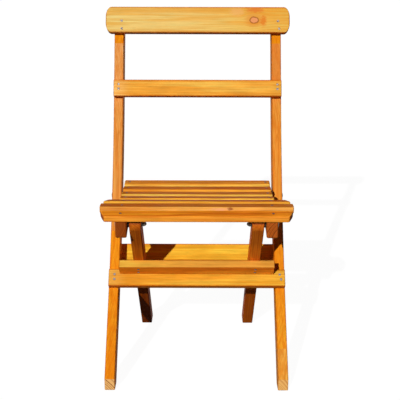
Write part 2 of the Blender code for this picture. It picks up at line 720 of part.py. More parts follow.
# The blind bore ends where its rim is still a wall's thickness inside the dome
CAP_ROOM = (CAP_RADIUS - CAP_WALL) ** 2 - (SHANK_RADIUS + BORE_CLEAR) ** 2
CAP_BORE_END = CAP_X - math.sqrt(max(CAP_ROOM, 0.0))
CAP_BORE_START = LEG_NUT_X + NUT_HEIGHT / 2 + OVERRUN
LEG_SHANK_END = CAP_BORE_END + BORE_CLEAR
for SIDE in (-1, 1):
    add_bolt(side_name("leg_bolt", SIDE), SIDE, SEAT, SEAT_HALF + CLEAR, LEG_PIVOT,
             SEAT_HALF + CLEAR - LEG_SHANK_END)
    add_ring(side_name("leg_spacer", SIDE), SIDE, SEAT, LEG_OUTER + LEG_GAP / 2, LEG_PIVOT,
             SPACER_RADIUS, LEG_GAP - CLEAR * 2, BLACK_NYLON)
    add_ring(side_name("leg_washer", SIDE), SIDE, SEAT, LEG_WASHER_X, LEG_PIVOT,
             WASHER_RADIUS, WASHER_THICK, DARK_STEEL)
    NUT = add_nut(side_name("leg_cap_nut", SIDE), SIDE, SEAT, LEG_NUT_X, LEG_PIVOT)
    DOME = bpy.data.meshes.new("cap_dome")
    SHAPE = bmesh.new()
    bmesh.ops.create_uvsphere(SHAPE, u_segments=HOLE_SIDES, v_segments=DOME_STEPS * 2,
                              radius=CAP_RADIUS)
    SHAPE.to_mesh(DOME)
    SHAPE.free()
    CAP = add_cutter(side_name("cap_dome", SIDE), DOME)
    face_side(CAP, SIDE)
    place(CAP, SEAT, SIDE * CAP_X, LEG_PIVOT)
    cut_with(NUT, CAP, "UNION")
    HOLE = add_cutter(side_name("cap_bore", SIDE),
                      bar_mesh("cap_bore", SHANK_RADIUS + BORE_CLEAR,
                               CAP_BORE_START - CAP_BORE_END, HOLE_SIDES))
    face_side(HOLE, SIDE)
    place(HOLE, SEAT, SIDE * (CAP_BORE_START + CAP_BORE_END) / 2, LEG_PIVOT)
    cut_with(NUT, HOLE)

# Turned pieces are shaded smooth across their facets
for PIECE in CHAIR.objects:
    if PIECE.type == "MESH" and "Turned" in PIECE.modifiers:
        PIECE.modifiers["Turned"].use_smooth_shade = True

bpy.context.view_layer.update()
print("seat pivot", [round(value, 5) for value in SEAT_EMPTY.matrix_world.translation])
print("leg pivot", [round(value, 5) for value in LEG_EMPTY.matrix_world.translation])
print("outline depth", round(OUTLINE_DEPTH, 5))
print("crossbars up the stile", round(FRONT_BAR_UP, 5), round(REAR_BAR_UP, 5))
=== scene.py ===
# %% [markdown]
# # A folding patio chair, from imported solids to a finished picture
#
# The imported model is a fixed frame: every solid of the chair lies where it belongs, in metres,
# with its front towards -Y and the floor at Z = 0. This lesson makes the wooden pieces again
# with finer edges, gives every piece a material made of nodes, and lights the chair plainly.
# A piece that stands for a solid lies exactly where that solid lies, so that it folds with it.

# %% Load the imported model
import json
import math

import bmesh
import bpy
from mathutils import Matrix, Vector


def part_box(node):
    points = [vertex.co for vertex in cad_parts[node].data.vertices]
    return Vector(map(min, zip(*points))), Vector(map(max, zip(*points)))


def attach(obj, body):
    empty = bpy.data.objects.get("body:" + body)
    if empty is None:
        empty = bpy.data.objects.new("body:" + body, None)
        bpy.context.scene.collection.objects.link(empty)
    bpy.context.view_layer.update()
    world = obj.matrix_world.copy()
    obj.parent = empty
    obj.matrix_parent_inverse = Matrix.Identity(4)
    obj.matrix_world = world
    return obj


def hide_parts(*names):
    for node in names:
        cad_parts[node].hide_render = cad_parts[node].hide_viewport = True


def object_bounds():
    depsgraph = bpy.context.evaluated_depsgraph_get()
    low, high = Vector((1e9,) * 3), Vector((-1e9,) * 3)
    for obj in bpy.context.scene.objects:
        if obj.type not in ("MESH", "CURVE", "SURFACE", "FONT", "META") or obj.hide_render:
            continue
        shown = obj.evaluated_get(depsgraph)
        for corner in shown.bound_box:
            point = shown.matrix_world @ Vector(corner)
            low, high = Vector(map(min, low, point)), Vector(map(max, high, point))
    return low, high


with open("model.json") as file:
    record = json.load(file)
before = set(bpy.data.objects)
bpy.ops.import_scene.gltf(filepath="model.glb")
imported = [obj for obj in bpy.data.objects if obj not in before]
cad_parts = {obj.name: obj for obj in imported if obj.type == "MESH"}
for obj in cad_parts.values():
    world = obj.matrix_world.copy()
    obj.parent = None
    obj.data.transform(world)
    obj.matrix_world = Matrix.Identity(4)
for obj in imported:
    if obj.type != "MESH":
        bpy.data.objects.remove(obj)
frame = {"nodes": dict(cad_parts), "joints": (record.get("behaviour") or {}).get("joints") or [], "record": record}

CAD_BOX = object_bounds()
print("solids:", len(frame["nodes"]), "box:", [[round(v, 4) for v in corner] for corner in CAD_BOX])

# %% [markdown]
# ## The camera
#
# A photograph's viewpoint can be worked back from how its parallel edges draw together. Here the
# lens stood in front of the chair, a little above its top rail, and looked down at the seat.
# Three turns describe that: yaw to the side, pitch down, and a slight roll. A product of three
# plain turns shows their order, which one Euler triple would hide: the roll comes first.

# %% Stand the camera where the photograph was taken
CAMERA_PLACE = Vector((0.0100, -2.0496, 0.970))
YAW, PITCH, ROLL = math.radians(-0.080), math.radians(15.688), math.radians(0.130)
LENS, SENSOR = 76.65, 36.0


def new_object(name, data):
    """An object at the origin, in the scene."""
    made = bpy.data.objects.new(name, data)
    bpy.context.scene.collection.objects.link(made)
    return made


camera = new_object("photo_camera", bpy.data.cameras.new("photo_camera"))
camera.data.lens = LENS
camera.data.sensor_width = SENSOR
turns = (Matrix.Rotation(-YAW, 4, "Z") @ Matrix.Rotation(math.pi / 2 - PITCH, 4, "X")
         @ Matrix.Rotation(ROLL, 4, "Z"))
camera.matrix_world = Matrix.Translation(CAMERA_PLACE) @ turns
bpy.context.scene.camera = camera
print("camera", round((CAMERA_PLACE - Vector((0, 0, 0.45))).length, 2), "m from the seat")

# %% [markdown]
# ## Helpers for node trees
#
# A material or a Geometry Nodes tree is a graph of small steps. Written out node by node it
# takes hundreds of lines, so each socket is held in a wire that can stand in a formula: a plus
# sign between two wires adds an Add node and hands back the wire that carries the sum. Vectors
# and colours get Vector Math nodes and plain numbers get Math nodes.


# %% Sockets that stand in formulas
class Wire:
    """A node's output; each sign in a formula adds the node that works it out."""

    def __init__(self, socket):
        self.socket = socket
        self.tree = socket.id_data
        self.is_vector = socket.type in ("VECTOR", "RGBA")

    def __add__(self, other):
        return calc("ADD", self, other)

    def __sub__(self, other):
        return calc("SUBTRACT", self, other)

    def __mul__(self, other):
        return calc("MULTIPLY", self, other)

    def __truediv__(self, other):
        return calc("DIVIDE", self, other)

    def __gt__(self, other):
        return calc("GREATER_THAN", self, other)

    def __lt__(self, other):
        return calc("LESS_THAN", self, other)

    def __getitem__(self, axis):
        """One part of a vector, by its letter."""
        return add_node(self.tree, "ShaderNodeSeparateXYZ", (self,), axis)

    def other(self, name):
        """Another output of the same node."""
        return Wire(self.socket.node.outputs[name])


def feed(socket, term):
    """Puts a plain value on a socket, or joins to it a wire or each of a list of wires."""
    if isinstance(term, list):
        for wire in term:
            feed(socket, wire)
    elif isinstance(term, Wire):
        socket.id_data.links.new(term.socket, socket)
    elif socket.type == "RGBA" and len(term) == 3:
        socket.default_value = (*term, 1.0)
    else:
        socket.default_value = term


def add_node(tree, kind, inputs=(), out=0, **settings):
    """A node with its settings and inputs, by name or in order: the wire from one output."""
    node = tree.nodes.new(kind)
    for name, value in settings.items():
        setattr(node, name, value)
    pairs = inputs.items() if isinstance(inputs, dict) else enumerate(inputs)
    for key, term in pairs:
        feed(node.inputs[key], term)
    return Wire(node.outputs[out])


def tree_of(*terms):
    """The tree that the first wire among some terms belongs to."""
    return next(term.tree for term in terms if isinstance(term, Wire))


def calc(operation, *terms):
    """One Math node, or a Vector Math node where a vector goes in."""
    if not any(getattr(term, "is_vector", isinstance(term, (tuple, Vector))) for term in terms):
        return add_node(tree_of(*terms), "ShaderNodeMath", terms, operation=operation)
    terms = [(term,) * 3 if isinstance(term, (int, float)) else term for term in terms]
    out = "Value" if operation == "LENGTH" else "Vector"
    return add_node(tree_of(*terms), "ShaderNodeVectorMath", terms, out, operation=operation)


def ramp(value, low, high, to_low=0.0, to_high=1.0, smooth=True):
    """Maps a value from one range to another, and stops at both ends."""
    return add_node(value.tree, "ShaderNodeMapRange", (value, low, high, to_low, to_high),
                    interpolation_type="SMOOTHSTEP" if smooth else "LINEAR")


def xyz(*parts):
    """A vector from three parts, at least one of them a wire."""
    return add_node(tree_of(*parts), "ShaderNodeCombineXYZ", parts)


def noise(vector, stretch, detail=2.0, roughness=0.5, out="Fac"):
    """Noise on a stretched vector: how often it changes per metre along each axis."""
    return add_node(vector.tree, "ShaderNodeTexNoise", {
        "Vector": vector * stretch, "Scale": 1.0, "Detail": detail, "Roughness": roughness}, out)


def mix(amount, first, second, kind="MIX"):
    """Mixes two colours."""
    node = tree_of(amount, first, second).nodes.new("ShaderNodeMix")
    node.data_type, node.blend_type = "RGBA", kind
    feed(node.inputs["Factor"], amount)
    for socket, term in zip([socket for socket in node.inputs if socket.type == "RGBA"], (first, second)):
        feed(socket, term)
    return Wire(next(socket for socket in node.outputs if socket.type == "RGBA"))


def shade(red, green, blue):
    """Display values from 0 to 255 as the linear colour that a shader takes."""
    levels = [value / 255 for value in (red, green, blue)]
    return tuple(level / 12.92 if level <= 0.04045 else ((level + 0.055) / 1.055) ** 2.4 for level in levels)


print("mid orange in linear light:", [round(v, 3) for v in shade(230, 130, 40)])

# %% [markdown]
# ## Floor and light
#
# The chair stands on a plain pale floor in front of nothing. A floor lit like the chair would
# look grey, because the lamps are kept low enough for the wood's own colour to show. So the
# floor glows a little, but only for rays that come from the camera or from a shiny surface:
# the Light Path node tells them apart. The wood then gets no extra light, and the floor keeps
# the chair's shadow.
#
# The photograph was taken in low sun from the front and a little from the left, with dark and
# fairly sharp shadows, so a sun lamp takes that part. The world fills in softly from all round. A
# second sun lamp, so wide that it throws no shadow to speak of, stands low behind the chair: the
# photograph's view hardly meets its light, but seen from behind the chair would be dull without it.

# %% Lay the floor
FLOOR_HALF = 45.0
FLOOR_GLOW = 0.95
FLOOR_PAINT = 0.10


def seen(tree):
    """1 for rays from the camera or from a shiny surface, and 0 for the light that falls on things."""
    ray = add_node(tree, "ShaderNodeLightPath", out="Is Camera Ray")
    shiny = calc("MAXIMUM", ray.other("Is Glossy Ray"), ray.other("Is Transmission Ray"))
    return calc("MAXIMUM", ray, shiny)


def emptied(block):
    """The node tree of a material or world, with nothing in it."""
    block.use_nodes = True
    block.node_tree.nodes.clear()
    return block.node_tree


floor_mesh = bpy.data.meshes.new("studio_floor")
corners = [(x * FLOOR_HALF, y * FLOOR_HALF, 0.0) for x, y in ((-1, -1), (1, -1), (1, 1), (-1, 1))]
floor_mesh.from_pydata(corners, [], [(0, 1, 2, 3)])
studio_floor = new_object("studio_floor", floor_mesh)

floor_paint = bpy.data.materials.new("pale floor")
tree = emptied(floor_paint)
matt = add_node(tree, "ShaderNodeBsdfDiffuse", {"Color": (FLOOR_PAINT,) * 3})
glow = add_node(tree, "ShaderNodeEmission", {"Strength": seen(tree) * FLOOR_GLOW})
both = add_node(tree, "ShaderNodeAddShader", (matt, glow))
feed(tree.nodes.new("ShaderNodeOutputMaterial").inputs["Surface"], both)
floor_mesh.materials.append(floor_paint)
print("floor", FLOOR_HALF * 2, "m across")

# %% Set the lamps and the world
WORLD_LIGHT = 0.03


def sun_lamp(name, power, width, round_from_front, rise, colour):
    """A sun lamp at an angle round from the chair's front, and that far above the floor."""
    lamp = new_object(name, bpy.data.lights.new(name, "SUN"))
    lamp.data.energy = power
    lamp.data.angle = math.radians(width)
    lamp.data.color = colour
    turn, up = math.radians(round_from_front), math.radians(rise)
    towards = Vector((math.sin(turn) * math.cos(up), -math.cos(turn) * math.cos(up), math.sin(up)))
    lamp.rotation_mode = "QUATERNION"
    lamp.rotation_quaternion = towards.to_track_quat("Z", "Y")
    print(name, "stands towards", [round(v, 2) for v in towards])


sun_lamp("low_sun", power=3.32, width=0.8, round_from_front=-18.5, rise=26.5, colour=(1.0, 0.99, 0.975))
sun_lamp("soft_back", power=1.70, width=60, round_from_front=174, rise=14, colour=(1.0, 1.0, 1.0))

world = bpy.data.worlds.new("plain_studio")
bpy.context.scene.world = world
tree = emptied(world)
air = add_node(tree, "ShaderNodeBackground", {
    "Color": (1.0, 1.0, 1.0), "Strength": ramp(seen(tree), 0.0, 1.0, WORLD_LIGHT, 1.0, smooth=False)})
feed(tree.nodes.new("ShaderNodeOutputWorld").inputs["Surface"], air)
bpy.context.scene.view_settings.view_transform = "Standard"
print("world light", WORLD_LIGHT)

# %% [markdown]
# ## Stained pine
#
# The chair is softwood under an orange stain. Pine shows pale early wood and darker late wood in
# growth rings round a pith that usually lies outside the board. A picture of boards could be
# wrapped on each piece, but its lines would break at every edge. A solid pattern does not: the
# rings are measured as distances from the pith line, so a face shows long lines, an end shows
# arcs, and a slanted cut shows both, as in real wood.
#
# The group takes a place in the board's own axes, with X along the grain. Slow noise bends the
# rings, a saw-tooth gives each ring its soft start and sharp end, fine stretched noise gives
# fibres, and wide noise gives the stain its uneven depth. Late wood also stands slightly proud
# of early wood on a weathered board, so the group hands out a height as well, and the rings
# alone for the cut ends.


# %% The growth rings
def node_group(name, kind, inputs, outputs):
    """A node group: its tree, the wires from its inputs, and the sockets of its outputs.

    An input is given by its default value, or by its kind's name where it has none.
    """
    tree = bpy.data.node_groups.new(name, kind)
    for label, socket_kind in outputs.items():
        tree.interface.new_socket(label, in_out="OUTPUT", socket_type="NodeSocket" + socket_kind)
    for label, value in inputs.items():
        if isinstance(value, str):
            tree.interface.new_socket(label, in_out="INPUT", socket_type="NodeSocket" + value)
            continue
        socket_kind = "Float" if isinstance(value, float) else "Vector"
        socket = tree.interface.new_socket(label, in_out="INPUT", socket_type="NodeSocket" + socket_kind)
        socket.default_value = value
    wires = {socket.name: Wire(socket) for socket in tree.nodes.new("NodeGroupInput").outputs}
    return tree, wires, tree.nodes.new("NodeGroupOutput").inputs


RING_WIDTH, RING_WANDER = 0.0034, 2.6
RING_STRENGTH, STAIN_SPREAD, STREAK_SPREAD = 0.9, 0.6, 0.66
# How often each pattern changes per metre: along the grain, and twice across it
BENDS, FIBRES, FLECKS = (1.9, 16.0, 16.0), (16.0, 620.0, 620.0), (60.0, 1900.0, 1900.0)
STAINS, PATCHES, STREAKS = (3.1, 24.0, 24.0), (17.0, 70.0, 70.0), (5.0, 210.0, 210.0)
YEARS = (95.0, 1.0, 1.0)
# How far the bends push the rings, in metres, and where another seed or length of board goes
BEND_REACH = (0.0, 0.011, 0.011)
LENGTH_SEED, SEED_SHIFT, LENGTH_SHIFT = 3.7, (1.31, 0.47, 0.83), (0.0, 0.0137, 0.0137)

pine, given, pine_out = node_group("stained pine", "ShaderNodeTree", {
    "Vector": "Vector", "Pith": "Vector", "Early wood": "Color", "Late wood": "Color", "Deep stain": "Color",
    "Edge": 0.0, "Edge strength": 0.9, "Length of board": 0.0, "Seed": 0.0,
}, {"Color": "Color", "Roughness": "Float", "Height": "Float", "Ring line": "Float"})

# Another length of board in a finger-jointed piece has another pith and other noise
shift = given["Seed"] + given["Length of board"] * LENGTH_SEED
place = given["Vector"] + shift * SEED_SHIFT
bent = (noise(place, BENDS, detail=1.5, out="Color") - 0.5) * BEND_REACH
from_pith = given["Vector"] - given["Pith"] + given["Length of board"] * LENGTH_SHIFT + bent
radius = calc("LENGTH", from_pith * (0.0, 1.0, 1.0))

# Wide and narrow years follow one another along the radius
years = noise(xyz(radius, shift, 0.0), YEARS, detail=1.0)
rings = radius / RING_WIDTH + years * RING_WANDER
part = calc("FRACT", rings)
late = ramp(part, 0.40, 0.90) * ramp(part, 0.90, 1.0, 1.0, 0.0)
year = add_node(pine, "ShaderNodeTexWhiteNoise", {"W": calc("FLOOR", rings)}, "Value", noise_dimensions="1D")
late = late * ramp(year, 0.0, 1.0, 0.35, 1.0, False)
print("rings take", len(pine.nodes), "nodes")

# %% Fibres, stain and edges
fibres = noise(place, FIBRES, detail=3.0, roughness=0.6)
flecks = ramp(noise(place, FLECKS, detail=1.0), 0.66, 0.74)
stain = ramp(noise(place, STAINS, detail=3.0, roughness=0.55), 0.42, 0.64)
patches = noise(place, PATCHES)
streaks = ramp(noise(place, STREAKS), 0.44, 0.62)

wood = mix(late * RING_STRENGTH, given["Early wood"], given["Late wood"])
wood = mix(stain * STAIN_SPREAD, wood, given["Deep stain"])
wood = mix(streaks * STREAK_SPREAD, wood, given["Late wood"])
dim = ramp(fibres, 0.30, 0.70, 0.84, 1.10, False) + ramp(patches, 0.30, 0.70, -0.10, 0.10, False)
wood = mix(1.0, wood, dim * ramp(flecks, 0.0, 1.0, 1.0, 0.80, False), "MULTIPLY")

# Darker along the rounded edges, unevenly: partly stain that gathers there, partly painted shade where the
# rounding turns from the light
edge = given["Edge"] * given["Edge strength"] * ramp(patches, 0.25, 0.65, 0.55, 1.0)
wood = mix(edge, wood, mix(1.0, given["Deep stain"], (0.62, 0.46, 0.36), "MULTIPLY"))

feed(pine_out["Color"], wood)
feed(pine_out["Roughness"], ramp(fibres, 0.3, 0.7, 0.42, 0.56, False) + late * -0.05)
feed(pine_out["Height"], late * 0.45 + fibres * 0.55 - flecks * 0.30)
feed(pine_out["Ring line"], late)
print("stained pine takes", len(pine.nodes), "nodes")

# %% [markdown]
# ## Knots, shades and blotches
#
# A knot is the foot of a branch. Its own small rings stand across the board, a dark bark line
# often runs round it, and the board's rings swing wide of it on both sides. Drawing the place
# nearer to the knot's middle before the rings are measured pushes the lines apart.
#
# A board's colour isn't even either. Shades tint it gently from one place to another along an axis:
# some are the wood's own changes of tone, and some are painted light and shade, such as darker rims
# along rounded edges, the stop bar's paler top and the legs' darker parts. Blotches are soft
# patches such as round a knot.

# %% A knot in a board's face
KNOT_HALO, BARK_LINE = shade(224, 128, 44), shade(140, 66, 26)
WOBBLE_SCALE, WOBBLE_REACH = 220.0, (0.0035, 0.0035, 0.0)
SWING, SWING_FADE = (0.0, -0.85, 0.0), -0.16
KNOT_RINGS = 4.2


def knot_reach(spot, middle, long, high):
    """How far a place lies from a knot's middle, with 1 at the knot's rim."""
    wobble = (noise(spot, WOBBLE_SCALE, out="Color") - 0.5) * WOBBLE_REACH
    return calc("LENGTH", (spot - middle + wobble) * (1.0, 1.0, 0.0) / (long, high, 1.0))


def swung_wide(spot, middle, reach):
    """The place at which the rings are measured, drawn nearer to a knot's middle."""
    swing = calc("EXPONENT", reach * reach * SWING_FADE)
    return spot + (spot - middle) * (swing * SWING)


def knotted(colour, reach, knot_wood):
    """Lays a knot's halo, core and bark line on the wood."""
    core = mix(ramp(calc("FRACT", reach * KNOT_RINGS), 0.3, 0.95, 0.0, 0.45), knot_wood, KNOT_HALO)
    colour = mix(ramp(reach, 1.0, 3.0, 0.55, 0.0), colour, KNOT_HALO)
    colour = mix(ramp(reach, 0.86, 1.0, 1.0, 0.0), colour, core)
    rim = ramp(reach, 0.74, 0.96) * ramp(reach, 1.0, 1.26, 1.0, 0.0)
    return mix(rim * 0.70, colour, BARK_LINE)


print("bark line", [round(v, 3) for v in BARK_LINE])

# %% Shades and blotches
RAGGED = (160.0, 420.0, 420.0)


def shaded(colour, spot, shades):
    """Tints a colour step by step along the board's axes."""
    for axis, start, end, tint in shades:
        colour = mix(ramp(spot[axis], start, end), colour, tint, "MULTIPLY")
    return colour


def blotched(colour, spot, blotches):
    """Lays soft patches of another colour on a board, each with its middle, reach and strength."""
    for middle, reach, tone, strength in blotches:
        ragged = ramp(noise(spot, RAGGED), 0.3, 0.7, -0.30, 0.30, False)
        away = calc("LENGTH", (spot - middle) / reach) + ragged
        colour = mix(ramp(away, 0.35, 1.0, strength, 0.0), colour, shade(*tone))
    return colour


print("boards can be shaded and blotched")

# %% [markdown]
# ## One material for each board
#
# Every board was sawn from another place in the log, so each gets a material of its own: the
# same group, with another pith and seed. A Mapping node of the Texture kind takes the place in
# the chair back to the board's own axes, with its middle at zero and the grain along X, because
# each piece's object stays at the origin and its place is in its mesh. Cut ends drink more stain
# than faces, so a mark on the mesh says where the saw went across the grain.

# %% Board materials
GLOSS = 0.004
DARK_END = ((176, 88, 34), (112, 44, 12))


def board_axes(grain, face):
    """The turn that carries X onto the grain and Z onto the board's face."""
    along = grain.normalized()
    out = (face - along * face.dot(along)).normalized()
    return Matrix((along, out.cross(along), out)).transposed().to_euler()


def new_material(name):
    """A material, its shader's inputs, and the place that its patterns start from."""
    material = bpy.data.materials.new(name)
    material.use_nodes = True
    tree = material.node_tree
    return material, tree.nodes["Principled BSDF"].inputs, add_node(tree, "ShaderNodeTexCoord", out="Object")


def mark(tree, name):
    """A mark that was stored on the mesh."""
    return add_node(tree, "ShaderNodeAttribute", out="Fac", attribute_name=name)


def roughen(surface, height, strength, distance):
    """Turns a height into a shader's bump."""
    feed(surface["Normal"], add_node(height.tree, "ShaderNodeBump", {
        "Strength": strength, "Distance": distance, "Height": height}))


def stained_board(name, middle, turn, look, pith, seed, knot=None, joints=(), tints=((1.0, 1.0, 1.0),),
                  upper=None, shades=(), blotches=(), end=DARK_END, rim=0.9):
    """A board's material; a knot lies in its face, and joints are places along its grain."""
    material, surface, place = new_material(name)
    tree = material.node_tree
    spot = add_node(tree, "ShaderNodeMapping", {"Vector": place, "Location": middle, "Rotation": turn},
                    vector_type="TEXTURE")
    rings_at = spot
    if knot:
        knot_middle, long, high, knot_wood = knot
        reach = knot_reach(spot, knot_middle, long, high)
        rings_at = swung_wide(spot, knot_middle, reach)
    length, tint = 0.0, tints[0]
    for joint, next_tint in zip(joints, tints[1:]):
        past = spot["X"] > joint
        length, tint = past + length, mix(past, tint, next_tint)
    early, late_wood, deep = (shade(*tone) for tone in look)
    wood = add_node(tree, "ShaderNodeGroup", {
        "Vector": rings_at, "Pith": pith, "Early wood": early, "Late wood": late_wood, "Deep stain": deep,
        "Edge": mark(tree, "edge_line"), "Edge strength": rim, "Length of board": length, "Seed": seed,
    }, "Color", node_tree=pine)
    colour = mix(1.0, wood, tint, "MULTIPLY")
    # The slats' tops get a darker tint here: partly weathering, partly painted shade of low light grazing them
    if upper:
        colour = mix(mark(tree, "face_up"), colour, upper, "MULTIPLY")
    colour = blotched(shaded(colour, spot, shades), spot, blotches)
    end_wood = mix(wood.other("Ring line"), *(shade(*tone) for tone in end))
    colour = mix(mark(tree, "end_cut"), colour, end_wood)
    if knot:
        colour = knotted(colour, reach, shade(*knot_wood))
    feed(surface["Base Color"], colour)
    feed(surface["Roughness"], wood.other("Roughness"))
    surface["Specular IOR Level"].default_value = GLOSS
    roughen(surface, wood.other("Height"), strength=0.35, distance=0.0004)
    return material


print("cut ends run from", DARK_END[0], "to", DARK_END[1])

# %% [markdown]
# ## The chair's side view
#
# Nearly every board follows one of two lines in the side view. The side stiles stand on an upright
# toe, lean back steeply, bend along a wide arc and end in a straighter back. The seat's slats lie on
# a dished arc that turns over into a rounded nose. The lines are written once as functions, so a
# board is placed by its distance along the stile or across the seat.

# %% The stiles' line
ROOT_SHIFT = 0.247916
TOE_HEIGHT, LOW_RUN, BEND_RADIUS = 0.030, 0.190, 1.55
LEAN_LOW, LEAN_HIGH = math.radians(39.2), math.radians(20.0)
STILE_LENGTH, STILE_DEPTH, STILE_THICK, FRAME_HALF = 0.944, 0.047, 0.024, 0.215
BEND_LENGTH = BEND_RADIUS * (LEAN_LOW - LEAN_HIGH)


def stile_lean(along):
    """Lean from upright at a place up the stiles' front face."""
    turned = (along - LOW_RUN) / BEND_RADIUS
    return LEAN_LOW - min(max(turned, 0.0), LEAN_LOW - LEAN_HIGH)


def stile_point(along, out=0.0):
    """A point of the side view, by its way up the stiles' front face and its distance ahead."""
    lean = stile_lean(along)
    low, high = min(along, LOW_RUN), max(along - LOW_RUN - BEND_LENGTH, 0.0)
    y = low * math.sin(LEAN_LOW) + high * math.sin(LEAN_HIGH)
    y += BEND_RADIUS * (math.cos(lean) - math.cos(LEAN_LOW))
    z = low * math.cos(LEAN_LOW) + high * math.cos(LEAN_HIGH)
    z += BEND_RADIUS * (math.sin(LEAN_LOW) - math.sin(lean))
    y -= out * math.cos(lean) + ROOT_SHIFT
    return Vector((0.0, y, TOE_HEIGHT + z + out * math.sin(lean)))


print("stile top at", [round(v, 4) for v in stile_point(STILE_LENGTH)])

# %% The seat's line
SEAT_PIVOT = Vector(frame["joints"][0]["pos_m"])
LEG_PIVOT = Vector(frame["joints"][1]["pos_m"])
DISH_RADIUS, NOSE_RADIUS, DISH_AHEAD, NOSE_AHEAD = 0.701, 0.247, 0.0899, 0.115
SLAT_WIDTH, SLAT_THICK, SLAT_PITCH, BACK_SLAT_AHEAD = 0.027, 0.016, 0.0435, 0.0039
SLAT_COUNT, LONG_SLATS, SEAT_HALF, LONG_SLAT_HALF = 7, 3, 0.184, 0.2223
BEARER_THICK, BEARER_DEPTH, CLEAR = 0.026, 0.040, 0.0003

SLAT_SEAT = SLAT_THICK + CLEAR + SLAT_WIDTH ** 2 / DISH_RADIUS / 8
DISH_SPAN = DISH_RADIUS + SLAT_SEAT + BEARER_DEPTH / 2
DISH_CENTRE = SEAT_PIVOT + Vector((0.0, -DISH_AHEAD, math.sqrt(DISH_SPAN ** 2 - DISH_AHEAD ** 2)))
ARCS_SPAN = DISH_RADIUS + NOSE_RADIUS
NOSE_CENTRE = DISH_CENTRE - Vector((0.0, NOSE_AHEAD, math.sqrt(ARCS_SPAN ** 2 - NOSE_AHEAD ** 2)))
ARCS_MEET = NOSE_CENTRE + (DISH_CENTRE - NOSE_CENTRE) * NOSE_RADIUS / ARCS_SPAN


def seat_slope(y):
    """Slope of the slats' top line, positive where it rises to the rear."""
    if y > ARCS_MEET.y:
        return math.asin((y - DISH_CENTRE.y) / DISH_RADIUS)
    return -math.asin((y - NOSE_CENTRE.y) / NOSE_RADIUS)


def seat_point(y, under=0.0):
    """A point on the slats' top line, or that far square under it."""
    slope = seat_slope(y)
    if y > ARCS_MEET.y:
        z = DISH_CENTRE.z - DISH_RADIUS * math.cos(slope)
    else:
        z = NOSE_CENTRE.z + NOSE_RADIUS * math.cos(slope)
    return Vector((0.0, y + under * math.sin(slope), z - under * math.cos(slope)))


def slat_middle(number):
    """How far back a slat's middle lies, counted from 0 at the rear."""
    return SEAT_PIVOT.y - BACK_SLAT_AHEAD - SLAT_PITCH * number


print("seat from", round(seat_point(slat_middle(0)).z, 4), "to", round(seat_point(slat_middle(6)).z, 4))

# %% [markdown]
# ## A board with eased edges, in Geometry Nodes
#
# Seven slats, a back rail, two crossbars and a stop bar are all the same thing: a sawn board whose
# edges a router has rounded. A beveled cube for each would do, but one Geometry Nodes tree with
# named sizes makes them all, and a change of the rounding changes every board.
#
# The tree starts from a cube whose faces are cut so that all cuts but the middle ones lie in the
# rounded margin. Each point is then drawn back to an inner box and pushed out again by the
# rounding's radius, which turns the margins into quarter rounds and the corners into part of a
# ball. The push's direction also tells how much a point belongs to an edge, so the tree stores
# that for the material, which darkens the edges: partly stain that gathers there, partly painted
# shade where the rounding turns away from the light.


# %% Small steps for geometry trees
def geometry_tree(name, inputs):
    """A Geometry Nodes tree with named inputs, ready for its nodes."""
    made = node_group(name, "GeometryNodeTree", {"Geometry": "Geometry", **inputs}, {"Geometry": "Geometry"})
    made[0].is_modifier = True
    return made


def position(tree):
    """Where each point lies."""
    return add_node(tree, "GeometryNodeInputPosition")


def stored(geometry, name, value, domain="POINT"):
    """Stores a named number on a geometry."""
    return add_node(geometry.tree, "GeometryNodeStoreNamedAttribute", {
        "Geometry": geometry, "Name": name, "Value": value}, data_type="FLOAT", domain=domain)


def moved_points(geometry, place):
    """Puts each point of a geometry at a new place."""
    return add_node(geometry.tree, "GeometryNodeSetPosition", {"Geometry": geometry, "Position": place})


def placed(geometry, middle, lean):
    """Turns a geometry about X and moves it."""
    turn = add_node(geometry.tree, "FunctionNodeEulerToRotation", (xyz(lean, 0.0, 0.0),))
    return add_node(geometry.tree, "GeometryNodeTransform", {
        "Geometry": geometry, "Translation": middle, "Rotation": turn})


def finished(geometry, material, smooth=True):
    """The end of every tree here: realized, with its material, and smooth where asked."""
    tree = geometry.tree
    if smooth:
        geometry = add_node(tree, "GeometryNodeSetShadeSmooth", {"Geometry": geometry})
    real = add_node(tree, "GeometryNodeRealizeInstances", (geometry,))
    return add_node(tree, "GeometryNodeSetMaterial", {"Geometry": real, "Material": material})


print("geometry trees are ready to draw")

# %% Build the eased board tree
EASE_STEPS = 4
MIDDLE_CUTS = 6
CUBE_CUTS = EASE_STEPS * 2 + 1 + MIDDLE_CUTS
MARGIN = 0.5 - EASE_STEPS / CUBE_CUTS
EDGE = 0.002
EASED_INPUTS = {"Size": (0.4, 0.04, 0.02), "Edge radius": EDGE}

eased, given, result = geometry_tree("eased board", EASED_INPUTS)
cube = add_node(eased, "GeometryNodeMeshCube", {f"Vertices {axis}": CUBE_CUTS + 1 for axis in "XYZ"}, "Mesh")
cut, side = calc("ABSOLUTE", position(eased)), calc("SIGN", position(eased))
to_margin = calc("MINIMUM", cut / MARGIN, 1.0)
push = calc("NORMALIZE", calc("MAXIMUM", (cut - MARGIN) / (0.5 - MARGIN), 0.0))
inner = given["Size"] * 0.5 - given["Edge radius"]
rounded = inner * to_margin + push * given["Edge radius"]

steepest = calc("MAXIMUM", calc("MAXIMUM", push["X"], push["Y"]), push["Z"])
marked = stored(cube, "edge_line", ramp(steepest, 0.997, 0.90))
marked = stored(marked, "end_cut", ramp(push["X"], 0.70, 0.95))
# Upward faces are marked for the slats' darker tops, partly weathering and partly painted shade
marked = stored(marked, "face_up", ramp(push["Z"] * side["Z"], 0.80, 0.97))
feed(result["Geometry"], moved_points(marked, rounded * side))
print("cube cut", CUBE_CUTS, "times, margin from", round(MARGIN, 3))

